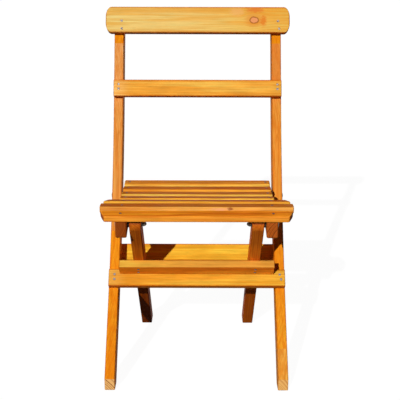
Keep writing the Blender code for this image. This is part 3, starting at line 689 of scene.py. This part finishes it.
# %% [markdown]
# ## The straight boards
#
# The back rail, both crossbars, the stop bar and the short slats are placed by one more tree: it
# takes the eased board, leans it and moves it to its middle. The modifier's inputs are set by each
# socket's identifier, and the result is kept as a plain mesh, so that nothing depends on the tree.

# %% Lean a board and move it to its place
FACE_WEIGHT = 100
BOARD_INPUTS = {**EASED_INPUTS, "Middle": (0.0, 0.0, 0.0), "Lean": 0.0, "Wood": "Material"}


def eased_board(given):
    """The eased board group inside another tree, with that tree's own size and edge radius."""
    sizes = {name: given[name] for name in EASED_INPUTS}
    return add_node(given["Size"].tree, "GeometryNodeGroup", sizes, node_tree=eased)


straight, given, result = geometry_tree("straight board", BOARD_INPUTS)
feed(result["Geometry"], finished(placed(eased_board(given), given["Middle"], given["Lean"]), given["Wood"]))


def evaluated(piece):
    """The mesh that an object's data and modifiers come to."""
    return bpy.data.meshes.new_from_object(piece.evaluated_get(bpy.context.evaluated_depsgraph_get()))


def settled(piece, name):
    """Weights an object's normals by its faces, and keeps the result as its plain mesh."""
    piece.modifiers.new("face weight", "WEIGHTED_NORMAL").weight = FACE_WEIGHT
    mesh = evaluated(piece)
    piece.modifiers.clear()
    piece.data = mesh
    mesh.name = name
    return mesh


def grown(tree, name, values, start=None):
    """Runs a tree on a new object and keeps the result as its plain mesh."""
    piece = new_object(name, start or bpy.data.meshes.new(name))
    maker = piece.modifiers.new(tree.name, "NODES")
    maker.node_group = tree
    for item in tree.interface.items_tree:
        if item.item_type == "SOCKET" and item.in_out == "INPUT" and item.name in values:
            maker[item.identifier] = values[item.name]
    settled(piece, name)
    return piece


def dress(piece, body, node):
    """A finished wooden piece rides on its body and stands for its solid."""
    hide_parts(node)
    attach(piece, body)
    print(piece.name, len(piece.data.polygons), "faces")


print("straight board takes", len(straight.nodes), "nodes")

# %% Back rail, crossbars and stop bar
RAIL_THICK = 0.018
RAIL_SIZE = ((FRAME_HALF - 0.0005) * 2, 0.043, RAIL_THICK)
STOP_SIZE = (0.374, 0.034, 0.021)
LEG_LEAN = math.radians(42.6)
BOARDS = {}


def box_middle(node):
    """The middle of a solid's box, which for a straight board is its own middle."""
    low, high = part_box(node)
    return (Vector(low) + Vector(high)) / 2


def tree_board(node, body, slot, size, middle, lean, look, pith, seed, tree=straight, sizes=None, **more):
    """A board that a tree makes, in place of its solid."""
    wood = stained_board(node + " wood", middle, (lean, 0.0, 0.0), look, pith, seed, **more)
    values = {"Size": size, "Edge radius": EDGE, "Middle": middle, "Lean": lean, "Wood": wood}
    values.update(sizes or {})
    dress(grown(tree, node + "_board", values), body, node)
    BOARDS[node] = (middle, lean, size)


# Darker rims along the rails' top and bottom edges, the bottom one darker: partly stain, partly painted shade of
# the rounding. The last shade makes the left ends paler.
RAIL_RIMS = (("Y", 0.0165, 0.0195, (0.90, 0.62, 0.40)), ("Y", -0.0170, -0.0200, (0.78, 0.50, 0.34)),
             ("X", -0.165, -0.210, (1.14, 1.30, 2.6)))
# Each rail's way up the stiles, tones of early wood, late wood and deep stain, pith, seed and shades
RAILS = {
    "back_rail": (0.7357, ((245, 193, 85), (232, 151, 47), (228, 141, 37)),
                  (0.0, -0.031, -0.052), 3.0, RAIL_RIMS),
    "front_crossbar": (0.24236, ((238, 183, 63), (224, 148, 35), (218, 124, 27)),
                       (0.0, 0.046, -0.040), 8.0, RAIL_RIMS),
    "rear_crossbar": (0.32629, ((240, 198, 64), (225, 158, 37), (221, 144, 29)),
                      (0.0, 0.021, -0.063), 5.0, RAIL_RIMS[:1]),
}
STOP_LOOK = ((255, 172, 48), (236, 120, 24), (240, 112, 18))
# The first shade makes the stop bar's top edge paler and yellower: painted light where the top catches the low
# sun.
STOP_SHADES = (("Y", 0.0150, 0.0162, (0.85, 1.42, 3.5)), ("X", 0.02, -0.16, (1.04, 1.10, 0.90)))
for node, (along, look, pith, seed, rims) in RAILS.items():
    tree_board(node, "back_frame", "rail_wood", RAIL_SIZE, box_middle(node), math.pi / 2 - stile_lean(along),
               look, pith, seed, shades=rims)
tree_board("stop_bar", "leg_frame", "rail_wood", STOP_SIZE, box_middle("stop_bar"), math.pi / 2 + LEG_LEAN,
           STOP_LOOK, (0.0, 0.020, 0.034), 11.0, shades=STOP_SHADES)

# %% [markdown]
# ## The seat's slats
#
# The slats are straight boards too, each tilted to the slope of the seat's line. On the real chair
# the three front slats are longer, and their ends are sawn along one round line so that no corner
# catches the sitter's legs. They get a tree that does the same: it scales each point's distance
# across by the round line at the point's own distance back.

# %% Build the long slats' tree
END_RADIUS = 0.118
long_slat, given, result = geometry_tree("long slat", {**BOARD_INPUTS, "Behind widest": 0.0})
spot = position(long_slat)
away = given["Behind widest"] + spot["Y"] * calc("COSINE", given["Lean"])
round_line = calc("SQRT", away * away * -1.0 + END_RADIUS ** 2)
drawn_in = (round_line + (LONG_SLAT_HALF - END_RADIUS)) / LONG_SLAT_HALF
shaped = moved_points(eased_board(given), spot * xyz(drawn_in, 1.0, 1.0))
feed(result["Geometry"], finished(placed(shaped, given["Middle"], given["Lean"]), given["Wood"]))
print("long slat takes", len(long_slat.nodes), "nodes")

# %% Make the seven slats
SLAT_EDGE, SLAT_RIM = 0.003, 0.12
SLAT_LOOK = ((250, 186, 72), (222, 132, 38), (230, 144, 42))
# Each slat's pith, its tint all over, and the darker tint of its top: partly weathering, partly painted shade of
# low light grazing the top
SLATS = (
    ((0.0, 0.020, -0.045), (1.02, 1.27, 1.53), (0.80, 0.48, 0.24)),
    ((0.0, -0.034, -0.030), (0.99, 0.90, 0.74), (0.64, 0.40, 0.16)),
    ((0.0, 0.012, -0.060), (0.98, 1.36, 1.80), (0.64, 0.28, 0.05)),
    ((0.0, 0.040, -0.022), (1.12, 1.24, 1.14), (0.52, 0.26, 0.05)),
    ((0.0, -0.018, -0.050), (0.97, 1.06, 0.94), (0.60, 0.30, 0.09)),
    ((0.0, 0.028, -0.038), (1.02, 1.02, 1.54), (0.62, 0.39, 0.10)),
    ((0.0, -0.008, -0.034), (1.12, 0.86, 0.67), (0.87, 0.72, 0.32)),
)
PINK_WOOD = ((0.0540, -0.0135, 0.0030), (0.0300, 0.007, 0.0042), (244, 176, 130), 0.7)
SPOT_WOOD = ((0.0770, -0.0135, 0.0040), (0.0085, 0.007, 0.0042), (150, 70, 40), 0.8)
SLAT_BLOTCHES = {5: (PINK_WOOD, SPOT_WOOD)}
for number, (pith, tint, top_tint_weathering_and_shade) in enumerate(SLATS):
    y = slat_middle(number)
    is_long = number >= SLAT_COUNT - LONG_SLATS
    half = LONG_SLAT_HALF if is_long else SEAT_HALF
    tree_board(f"seat_slat_{number + 1}", "seat", "slat_wood", (half * 2, SLAT_WIDTH, SLAT_THICK),
               seat_point(y, SLAT_THICK / 2), seat_slope(y), SLAT_LOOK, pith, 20.0 + number * 1.7,
               tree=long_slat if is_long else straight,
               sizes={"Edge radius": SLAT_EDGE, "Behind widest": y - slat_middle(SLAT_COUNT - 2)},
               tints=(tint,), upper=top_tint_weathering_and_shade, blotches=SLAT_BLOTCHES.get(number, ()), rim=SLAT_RIM)

# %% [markdown]
# ## Boards sawn to an outline
#
# The stiles, bearers, legs and top rail are flat boards sawn to an outline, which is what a
# filled curve is: the outline is drawn once, the fill closes both faces, and the extrusion gives
# the board its thickness. The fill is made of thin triangles, so they are joined into one face
# on each side before a Bevel rounds the long edges: a stray edge that ends at a corner would
# lead the rounding astray. The Bevel's clamp is off for the same reason, since it would cut the
# rounding down to the shortest step of an arc. How much a point's normal turns from the board's
# face tells the material where the rounded edge lies.

# %% Saw a board to its outline
TINY = 0.00001
SHARP_CORNER = math.radians(30)
# How fast the mark of an edge rises to 1, and over what change of slant the mark of a cut end does
EDGE_GAIN = 4.4
CUT_SOFTNESS = 0.1


def is_level(face):
    """Whether a face is part of the outline's flat side."""
    heights = [vertex.co.z for vertex in face.verts]
    return max(heights) - min(heights) < TINY


def flat_board(name, outline, thick):
    """A sharp-edged board from a filled outline, with one face on each side."""
    curve = bpy.data.curves.new(name, "CURVE")
    curve.dimensions = "2D"
    curve.fill_mode = "BOTH"
    curve.extrude = thick / 2
    spline = curve.splines.new("POLY")
    spline.points.add(len(outline) - 1)
    for target, point in zip(spline.points, outline):
        target.co = (*point, 0.0, 1.0)
    spline.use_cyclic_u = True
    drawn = new_object(name + "_drawn", curve)
    mesh = evaluated(drawn)
    bpy.data.objects.remove(drawn, do_unlink=True)

    shape = bmesh.new()
    shape.from_mesh(mesh)
    bmesh.ops.remove_doubles(shape, verts=shape.verts, dist=TINY)
    inside = [line for line in shape.edges if all(is_level(face) for face in line.link_faces)]
    bmesh.ops.dissolve_edges(shape, edges=inside, use_verts=False)
    bmesh.ops.recalc_face_normals(shape, faces=shape.faces)
    shape.to_mesh(mesh)
    shape.free()
    return mesh


def sawn_board(name, outline, thick, to_place, wood, grain, edge=EDGE, slant=0.8):
    """A board cut to an outline, with rounded edges, moved to its place by a matrix."""
    piece = new_object(name, flat_board(name, outline, thick))
    rounding = piece.modifiers.new("eased edges", "BEVEL")
    rounding.width = edge
    rounding.segments = EASE_STEPS
    rounding.limit_method = "ANGLE"
    rounding.angle_limit = SHARP_CORNER
    rounding.use_clamp_overlap = False
    mesh = evaluated(piece)
    piece.modifiers.clear()
    mark_edges(mesh)
    mesh.shade_smooth()
    piece.data = mesh
    mesh = settled(piece, name)
    mesh.transform(to_place)
    mark_ends(mesh, grain.normalized(), slant)
    mesh.materials.clear()
    mesh.materials.append(wood)
    return piece


def mark_edges(mesh):
    """Stores how much each point belongs to a rounded edge between face and side."""
    marks = mesh.attributes.new("edge_line", "FLOAT", "POINT")
    for vertex in mesh.vertices:
        square = abs(vertex.normal.z)
        turned = square * math.sqrt(max(1.0 - square ** 2, 0.0))
        marks.data[vertex.index].value = min(EDGE_GAIN * turned, 1.0)


def mark_ends(mesh, grain, slant):
    """Stores on each face whether it lies so steeply across the grain that it shows as a cut end."""
    cuts = mesh.attributes.new("end_cut", "FLOAT", "FACE")
    for face in mesh.polygons:
        across = abs(face.normal.dot(grain))
        cuts.data[face.index].value = min(max((across - slant) / CUT_SOFTNESS + 0.5, 0.0), 1.0)


print("a board's edges are eased in", EASE_STEPS, "steps")

# %% Stand boards in the side view
ACROSS = Vector((1.0, 0.0, 0.0))


def flat(point):
    """A point of the side view as an outline's pair."""
    return (point.y, point.z)


def arc(centre, radius, start, end, steps):
    """Points of an arc in the side view, both ends included."""
    turns = [start + (end - start) * step / steps for step in range(steps + 1)]
    return [(centre.y + radius * math.cos(turn), centre.z + radius * math.sin(turn)) for turn in turns]


def side_on(x):
    """The matrix that makes an outline's X and Y the chair's Y and Z, at a place across the chair."""
    return Matrix(((0.0, 0.0, 1.0, x), (1.0, 0.0, 0.0, 0.0), (0.0, 1.0, 0.0, 0.0), (0.0, 0.0, 0.0, 1.0)))


def side_pair(name, body, slot, outline, thick, half, middle, grain, seed, seed_step, looks, **cut):
    """A left and a right board of one outline, each with the looks of its own side."""
    for sign, side in ((-1, "left"), (1, "right")):
        node = f"{name}_{side}"
        x = sign * (half - thick / 2)
        wood = stained_board(node + " wood", middle + ACROSS * x, board_axes(grain, ACROSS),
                             seed=seed + sign * seed_step, **looks[side])
        board = sawn_board(node + "_board", outline, thick, side_on(x), wood, grain, **cut)
        dress(board, body, node)


print("boards can be stood in pairs")

# %% [markdown]
# ## The side stiles
#
# Each stile is one board from toe to top. It is too curved to have been bent cold, so it was sawn
# from a wide plank, and the grain runs straight along the chord: near the toe the rings leave the
# face at a slant. The photograph also shows sharp changes of tone along each stile, where shorter
# lengths were finger-jointed before sawing. The material switches to another pith and tint there.

# %% Draw the stiles
BEND_STEPS, CORNER_STEPS, STILE_TOP_ROUND = 32, 7, 0.014
STILE_END_SLANT = 0.40

bend = [LOW_RUN + BEND_LENGTH * step / BEND_STEPS for step in range(BEND_STEPS + 1)]
stile_outline = [(-ROOT_SHIFT, 0.0), (-ROOT_SHIFT, TOE_HEIGHT)]
stile_outline += [flat(stile_point(along)) for along in (*bend, STILE_LENGTH)]
for step in range(CORNER_STEPS + 1):
    turn = math.pi / 2 * step / CORNER_STEPS
    stile_outline.append(flat(stile_point(STILE_LENGTH - STILE_TOP_ROUND * (1 - math.cos(turn)),
                                          STILE_TOP_ROUND * (1 - math.sin(turn)) - STILE_DEPTH)))
foot = (STILE_DEPTH * math.sin(LEAN_LOW) - TOE_HEIGHT) / math.cos(LEAN_LOW)
stile_outline += [flat(stile_point(along, -STILE_DEPTH)) for along in (*reversed(bend), foot)]

STILE_LOOK = ((255, 186, 70), (232, 136, 34), (238, 142, 30))
TOP_BLOCK, TOP_BLOCK_TINT = 0.381, (0.95, 0.80, 0.17)
STILES = {
    "left": dict(
        look=STILE_LOOK, pith=(0.0, -0.034, -0.056), end=((242, 186, 114), (126, 52, 14)),
        joints=(-0.105, TOP_BLOCK), tints=((1.04, 0.88, 0.31), (0.96, 0.94, 1.75), TOP_BLOCK_TINT),
        shades=(("X", 0.20, 0.28, (1.06, 1.22, 1.9)), ("X", 0.3800, 0.3815, (0.97, 0.83, 0.57)))),
    "right": dict(
        look=STILE_LOOK, pith=(0.0, -0.024, -0.052), end=((240, 184, 106), (196, 116, 50)),
        joints=(-0.397, -0.110, TOP_BLOCK),
        tints=((1.02, 1.10, 1.50), (1.07, 0.99, 0.50), (0.99, 0.90, 1.10), TOP_BLOCK_TINT),
        shades=(("X", 0.20, 0.28, (0.98, 1.01, 1.6)), ("X", 0.3800, 0.3815, (1.06, 1.06, 0.80)))),
}
side_pair("stile", "back_frame", "stile_wood", stile_outline, STILE_THICK, FRAME_HALF,
          stile_point(STILE_LENGTH / 2, -STILE_DEPTH / 2), stile_point(STILE_LENGTH) - stile_point(0.0),
          seed=31.0, seed_step=4.0, looks=STILES, slant=STILE_END_SLANT)

# %% [markdown]
# ## The top rail
#
# The rail that the sitter leans on is wider than the others, and its corners are drawn in along a
# long arc, more in height than in length. Its front shows the chair's one big knot.

# %% Draw the top rail
TOP_SIZE = (0.4725, 0.0677, RAIL_THICK)
CORNER_LONG, CORNER_HIGH = 0.015, 0.026
TOP_CORNER_STEPS = 9
top_outline = []
for right, rise in ((1, 1), (-1, 1), (-1, -1), (1, -1)):
    turns = [math.pi / 2 * step / TOP_CORNER_STEPS for step in range(TOP_CORNER_STEPS + 1)]
    quarter = [(right * (TOP_SIZE[0] / 2 - CORNER_LONG * (1 - math.cos(turn))),
                rise * (TOP_SIZE[1] / 2 - CORNER_HIGH * (1 - math.sin(turn)))) for turn in turns]
    top_outline += quarter if right * rise > 0 else quarter[::-1]

TOP_LOOK = ((255, 230, 140), (246, 188, 84), (244, 176, 70))
TOP_KNOT = ((0.1450, -0.0008, 0.0), 0.0108, 0.0080, (236, 158, 104))
# The rims along the top rail's top, bottom and ends are darker, the bottom one most: partly stain, partly painted
# shade of the rounding. The other shades are tones of the face.
TOP_SHADES = (
    ("X", -0.06, 0.20, (0.99, 0.84, 0.52)), ("X", -0.06, -0.22, (1.00, 1.08, 1.20)),
    ("Y", 0.010, 0.030, (0.98, 0.86, 0.66)), ("Y", 0.0285, 0.0320, (0.86, 0.60, 0.36)),
    ("Y", -0.0290, -0.0325, (0.74, 0.46, 0.30)),
    ("X", 0.2318, 0.2358, (0.72, 0.46, 0.26)), ("X", -0.2325, -0.2360, (0.84, 0.66, 0.44)),
)
TOP_BLOTCHES = (
    ((0.169, -0.003, 0.009), (0.0105, 0.0190, 0.02), (226, 120, 36), 0.80),
    ((0.101, 0.021, 0.009), (0.0240, 0.0150, 0.02), (242, 178, 112), 0.50),
    ((0.148, 0.026, 0.009), (0.0290, 0.0090, 0.02), (224, 116, 46), 0.72),
)
top_lean = math.pi / 2 - stile_lean(0.9132)
top_middle = box_middle("top_rail")
wood = stained_board("top_rail wood", top_middle, (top_lean, 0.0, 0.0), TOP_LOOK, (0.0, -0.012, -0.075), 14.0,
                     knot=TOP_KNOT, shades=TOP_SHADES, blotches=TOP_BLOTCHES)
to_place = Matrix.Translation(top_middle) @ Matrix.Rotation(top_lean, 4, "X")
top_rail = sawn_board("top_rail_board", top_outline, RAIL_THICK, to_place, wood, ACROSS)
dress(top_rail, "back_frame", "top_rail")
BOARDS["top_rail"] = (top_middle, top_lean, TOP_SIZE)

# %% [markdown]
# ## The seat's bearers
#
# Two curved bearers carry the slats. Each is sawn parallel to the seat's line, ends in a half
# round about the seat's pivot, and is cut upright at its front. That end is a cut across the
# grain, so the solid ring pattern shows there as arcs without any extra work.

# %% Draw the bearers
SEAT_STEPS, END_STEPS, HALVINGS = 36, 18, 50
BEARER_NOSE, FRONT_ROUND, BEARER_EDGE = 0.004, 0.005, 0.004


def seat_line_over(y, under):
    """Where the seat's line passes square over a point that lies at y, that far under it."""
    low, high = y - under, y
    for _ in range(HALVINGS):
        halfway = (low + high) / 2
        if seat_point(halfway, under).y < y:
            low = halfway
        else:
            high = halfway
    return (low + high) / 2


rear_slope = math.asin(DISH_AHEAD / DISH_SPAN)
bearer_rear = DISH_CENTRE.y + DISH_RADIUS * math.sin(rear_slope)
bearer_end = slat_middle(SLAT_COUNT - 1) - BEARER_NOSE
bearer_front = seat_line_over(bearer_end, SLAT_SEAT)
bearer_step = (bearer_rear - bearer_front) / SEAT_STEPS
stations = [bearer_front + bearer_step * step for step in range(SEAT_STEPS + 1)]
bearer_outline = [flat(seat_point(y, SLAT_SEAT)) for y in stations]
turn = math.pi / 2 + rear_slope
bearer_outline += arc(SEAT_PIVOT, BEARER_DEPTH / 2, turn, turn - math.pi, END_STEPS)[1:-1]
under = SLAT_SEAT + BEARER_DEPTH
low_front = seat_line_over(bearer_end + FRONT_ROUND, under)
slope = seat_slope(low_front)
corner = seat_point(low_front, under) + Vector((0.0, 0.0, FRONT_ROUND / math.cos(slope)))
low_points = [seat_point(y, under) for y in reversed(stations)]
bearer_outline += [flat(point) for point in low_points if point.y > corner.y + FRONT_ROUND * math.sin(slope)]
bearer_outline += arc(corner, FRONT_ROUND, slope - math.pi / 2, -math.pi, CORNER_STEPS)

BEARER_LOOK = ((236, 152, 60), (194, 104, 34), (196, 102, 32))
# The bearers' cut ends are darker than other cut ends, the left one most: the darker stain of end grain, and
# painted shade of the slats over them.
BEARERS = {
    "left": dict(look=BEARER_LOOK, pith=(0.0, 0.012, -0.040), end=((148, 70, 22), (98, 36, 9))),
    "right": dict(look=BEARER_LOOK, pith=(0.0, -0.030, 0.040), end=((184, 92, 30), (80, 30, 7))),
}
BEARER_MIDDLE, BEARER_GRAIN = Vector((0.0, -0.07, 0.39)), Vector((0.0, 1.0, 0.02))
side_pair("seat_bearer", "seat", "bearer_wood", bearer_outline, BEARER_THICK, SEAT_HALF,
          BEARER_MIDDLE, BEARER_GRAIN, seed=44.0, seed_step=3.0, looks=BEARERS, edge=BEARER_EDGE)

# %% [markdown]
# ## The legs
#
# A leg is straight, half round about its pivot, and cut level at the floor.

# %% Draw the legs
LEG_THICK, LEG_DEPTH, LEGS_HALF, LEG_ROUND_STEPS = 0.027, 0.039, 0.153, 20
WOOD_MIDDLE = 0.25
LEG_DOWN = Vector((0.0, math.sin(LEG_LEAN), -math.cos(LEG_LEAN)))
LEG_AHEAD = Vector((0.0, -math.cos(LEG_LEAN), -math.sin(LEG_LEAN)))
turn = math.atan2(LEG_AHEAD.z, LEG_AHEAD.y)
leg_outline = arc(LEG_PIVOT, LEG_DEPTH / 2, turn, turn - math.pi, LEG_ROUND_STEPS)
for ahead in (-LEG_DEPTH / 2, LEG_DEPTH / 2):
    start = LEG_PIVOT + LEG_AHEAD * ahead
    leg_outline.append(flat(start + LEG_DOWN * start.z / math.cos(LEG_LEAN)))

# Each leg keeps its look near the seat, is brighter lower down and darker again towards the foot, and the left leg
# is darker all over: painted shade of the seat, the stop bar and the front crossbar, with some weathering towards
# the feet.
LEGS = {
    "left": dict(look=((222, 120, 28), (176, 82, 16), (172, 78, 14)), pith=(0.0, 0.034, 0.030),
                 shades=(("X", -0.20, -0.16, (1.26, 1.30, 1.10)), ("X", -0.08, 0.11, (0.44, 0.35, 0.36)))),
    "right": dict(look=((246, 142, 40), (200, 98, 24), (196, 94, 20)), pith=(0.0, 0.020, -0.048),
                  shades=(("X", -0.20, -0.16, (1.32, 1.32, 1.10)), ("X", -0.08, 0.11, (0.66, 0.58, 0.54)))),
}
side_pair("leg", "leg_frame", "leg_wood", leg_outline, LEG_THICK, LEGS_HALF,
          LEG_PIVOT + LEG_DOWN * WOOD_MIDDLE, LEG_DOWN, seed=52.0, seed_step=3.0, looks=LEGS)

# %% [markdown]
# ## Wood screws
#
# Pairs of cross-slot screws hold every rail, slat and bar. They repeat thirty-four times, so a tree
# makes one head and puts an instance on each point of a mesh: a low cone for the head, with a cross
# cut out of it, on a thin dark collar that stands partly for stain crept under the head and partly,
# as painted shadow, for the shade of its countersunk hole. Each point carries the direction of its
# board's face and a spin of its own, because no two screws stop at the same angle.

# %% Build the screw tree
HEAD_RADIUS, HEAD_HEIGHT, HEAD_SIDES = 0.0027, 0.0005, 20
HEAD_TAPER, NEAR_TOP = 0.90, 0.9
SLOT_WIDTH, SLOT_LENGTH, SLOT_DEPTH = 0.0010, 0.0036, 0.00036
COLLAR_RADIUS, COLLAR_THICK = HEAD_RADIUS * 1.22, 0.00016

screws, given, result = geometry_tree("cross-slot screws", {"Steel": "Material"})
head = add_node(screws, "GeometryNodeMeshCone", {
    "Vertices": HEAD_SIDES, "Radius Bottom": HEAD_RADIUS, "Radius Top": HEAD_RADIUS * HEAD_TAPER,
    "Depth": HEAD_HEIGHT}, "Mesh", fill_type="NGON")


def slot_bar(long, wide):
    """One bar of the cross, sunk from the top of the head."""
    bar = add_node(screws, "GeometryNodeMeshCube", {"Size": (long, wide, SLOT_DEPTH * 2)}, "Mesh")
    return add_node(screws, "GeometryNodeTransform", {
        "Geometry": bar, "Translation": (0.0, 0.0, HEAD_HEIGHT)})


bars = [slot_bar(SLOT_LENGTH, SLOT_WIDTH), slot_bar(SLOT_WIDTH, SLOT_LENGTH)]
crossed = add_node(screws, "GeometryNodeMeshBoolean", {"Mesh 1": head, "Mesh 2": bars}, "Mesh",
                   operation="DIFFERENCE", solver="EXACT")
collar = add_node(screws, "GeometryNodeMeshCylinder", {
    "Vertices": HEAD_SIDES, "Radius": COLLAR_RADIUS, "Depth": COLLAR_THICK}, "Mesh")
below_top = position(screws)["Z"] < HEAD_HEIGHT * NEAR_TOP
one_screw = add_node(screws, "GeometryNodeJoinGeometry", [
    [stored(crossed, "sunk", below_top, "FACE"), stored(collar, "sunk", 2.0, "FACE")]])
print("one screw takes", len(screws.nodes), "nodes")


# %% Put an instance on each point
def of_point(name, kind):
    """A named attribute of the points."""
    return add_node(screws, "GeometryNodeInputNamedAttribute", {"Name": name}, "Attribute", data_type=kind)


facing = add_node(screws, "FunctionNodeAlignRotationToVector", {
    "Vector": of_point("facing", "FLOAT_VECTOR")}, axis="Z")
spin = add_node(screws, "FunctionNodeEulerToRotation", (xyz(0.0, 0.0, of_point("spin", "FLOAT")),))
turned = add_node(screws, "FunctionNodeRotateRotation", {"Rotation": facing, "Rotate By": spin},
                  rotation_space="LOCAL")
heads = add_node(screws, "GeometryNodeInstanceOnPoints", {
    "Points": given["Geometry"], "Instance": one_screw, "Rotation": turned})
feed(result["Geometry"], finished(heads, given["Steel"], smooth=False))
print("screws take", len(screws.nodes), "nodes")


# %% Screw steel
def screw_metal(name, clean, bloomed, metal_share):
    """A material for screws: two tones of steel in patches, a slot darkened as painted shade, and a dark brown
    collar, partly stain and partly painted shadow.
    """
    metal, surface, spot = new_material(name)
    sunk = mark(metal.node_tree, "sunk")
    bloom = ramp(noise(spot, 900.0, detail=3.0), 0.35, 0.68)
    tone = mix(bloom, shade(*clean), shade(*bloomed))
    # Painted shade: faces marked sunk, the slot among them, turn dark as in a shaded recess, and the collar turns
    # dark brown, partly stain and partly the painted shadow round the sunk head.
    tone = mix(ramp(sunk, 0.4, 0.9), tone, shade(46, 32, 24))
    tone = mix(ramp(sunk, 1.4, 1.9), tone, shade(96, 44, 18))
    feed(surface["Base Color"], tone)
    feed(surface["Metallic"], ramp(sunk, 0.4, 1.6, metal_share, 0.0))
    feed(surface["Roughness"], bloom * 0.20 + 0.52)
    return metal


screw_steel = screw_metal("screw steel", (214, 206, 200), (150, 136, 126), metal_share=0.45)
stained_steel = screw_metal("stained screw steel", (176, 104, 48), (124, 70, 32), metal_share=0.10)
print("screw steel takes", len(screw_steel.node_tree.nodes), "nodes")

# %% Where the screws sit
FRONT, REAR = 1.0, -1.0
# On each board, the face, and the distance across the chair and up the board from its middle
FRAME_SCREWS = (
    ("top_rail", FRONT, ((-0.195, -0.0032), (-0.195, -0.0232), (0.206, -0.0032), (0.209, -0.0232))),
    ("back_rail", FRONT, ((-0.2015, 0.0097), (-0.2015, -0.0022), (0.204, 0.0097), (0.204, -0.0022))),
    ("front_crossbar", FRONT, ((-0.200, 0.0082), (-0.200, -0.0038), (0.2015, 0.0082), (0.2046, -0.0038))),
    ("rear_crossbar", REAR, ((-0.203, 0.0100), (-0.202, -0.0100), (0.2035, 0.0095), (0.202, -0.0105))),
)
STOP_SCREWS = (
    ("stop_bar", FRONT, ((-0.141, -0.0075), (-0.1405, 0.0070), (0.1405, -0.0075), (0.141, 0.0070))),
)
SLAT_SCREWS = [(f"seat_slat_{number}", FRONT, ((-0.1715, 0.0), (0.1725, 0.0)))
               for number in range(1, SLAT_COUNT + 1)]


def on_boards(rows):
    """Points on the boards' faces, each with the direction that its face looks in."""
    points = []
    for node, face, places in rows:
        middle, lean, size = BOARDS[node]
        turn = Matrix.Rotation(lean, 3, "X")
        out = turn @ Vector((0.0, 0.0, face))
        points += [(middle + turn @ Vector((x, up, 0.0)) + out * size[2] / 2, out) for x, up in places]
    return points


frame_screws, slat_screws, stop_screws = map(on_boards, (FRAME_SCREWS, SLAT_SCREWS, STOP_SCREWS))
print(len(frame_screws) + len(slat_screws) + len(stop_screws), "screws")

# %% Make the screws of each body
FIRST_SPIN, NEXT_SPIN = 0.4, 2.39996


def screw_points(name, places):
    """A mesh of loose points, each with its direction and a spin of its own."""
    mesh = bpy.data.meshes.new(name)
    mesh.from_pydata([place for place, _ in places], [], [])
    facing_data = mesh.attributes.new("facing", "FLOAT_VECTOR", "POINT").data
    for index, (_, out) in enumerate(places):
        facing_data[index].vector = out
    # A second attribute moves the first one's data, so it is made after the first is filled
    spin_data = mesh.attributes.new("spin", "FLOAT", "POINT").data
    for index in range(len(places)):
        spin_data[index].value = FIRST_SPIN + index * NEXT_SPIN
    return mesh


for body, places, metal in (("back_frame", frame_screws, screw_steel), ("seat", slat_screws, stained_steel),
                            ("leg_frame", stop_screws, screw_steel)):
    name = f"{body}_screws"
    heads = grown(screws, name, {"Steel": metal}, start=screw_points(name, places))
    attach(heads, body)
    print(name, len(heads.data.polygons), "faces")

# %% [markdown]
# ## Pivot hardware
#
# The bolts, washers and nuts keep their solids, whose shapes are right, and get better materials.
# Dark zinc wears first where it is handled, so noise lets some bare steel through. The spacers are
# moulded nylon with a faint grain.

# %% Dark steel and nylon
dark_steel, surface, spot = new_material("dark zinc steel")
worn = ramp(noise(spot, 420.0, detail=4.0), 0.52, 0.70)
turning = noise(spot, (120.0, 2600.0, 2600.0))
feed(surface["Base Color"], mix(worn, shade(74, 70, 66), shade(138, 128, 116)))
feed(surface["Roughness"], ramp(turning, 0.3, 0.7, 0.30, 0.48, False))
surface["Metallic"].default_value = 1.0
roughen(surface, turning, strength=0.25, distance=0.0002)

black_nylon, surface, spot = new_material("moulded nylon")
grain = noise(spot, 1600.0)
feed(surface["Base Color"], mix(grain, shade(26, 25, 24), shade(46, 44, 42)))
feed(surface["Roughness"], ramp(grain, 0.3, 0.7, 0.50, 0.66, False))
roughen(surface, grain, strength=0.20, distance=0.0001)

for subpart in frame["record"]["subparts"]:
    paint = {"dark_steel": dark_steel, "black_nylon": black_nylon}.get(subpart["material_slot"])
    if paint:
        slots = frame["nodes"][subpart["node"]].material_slots
        for slot in slots:
            slot.material = paint
        print(subpart["node"], paint.name, len(slots))
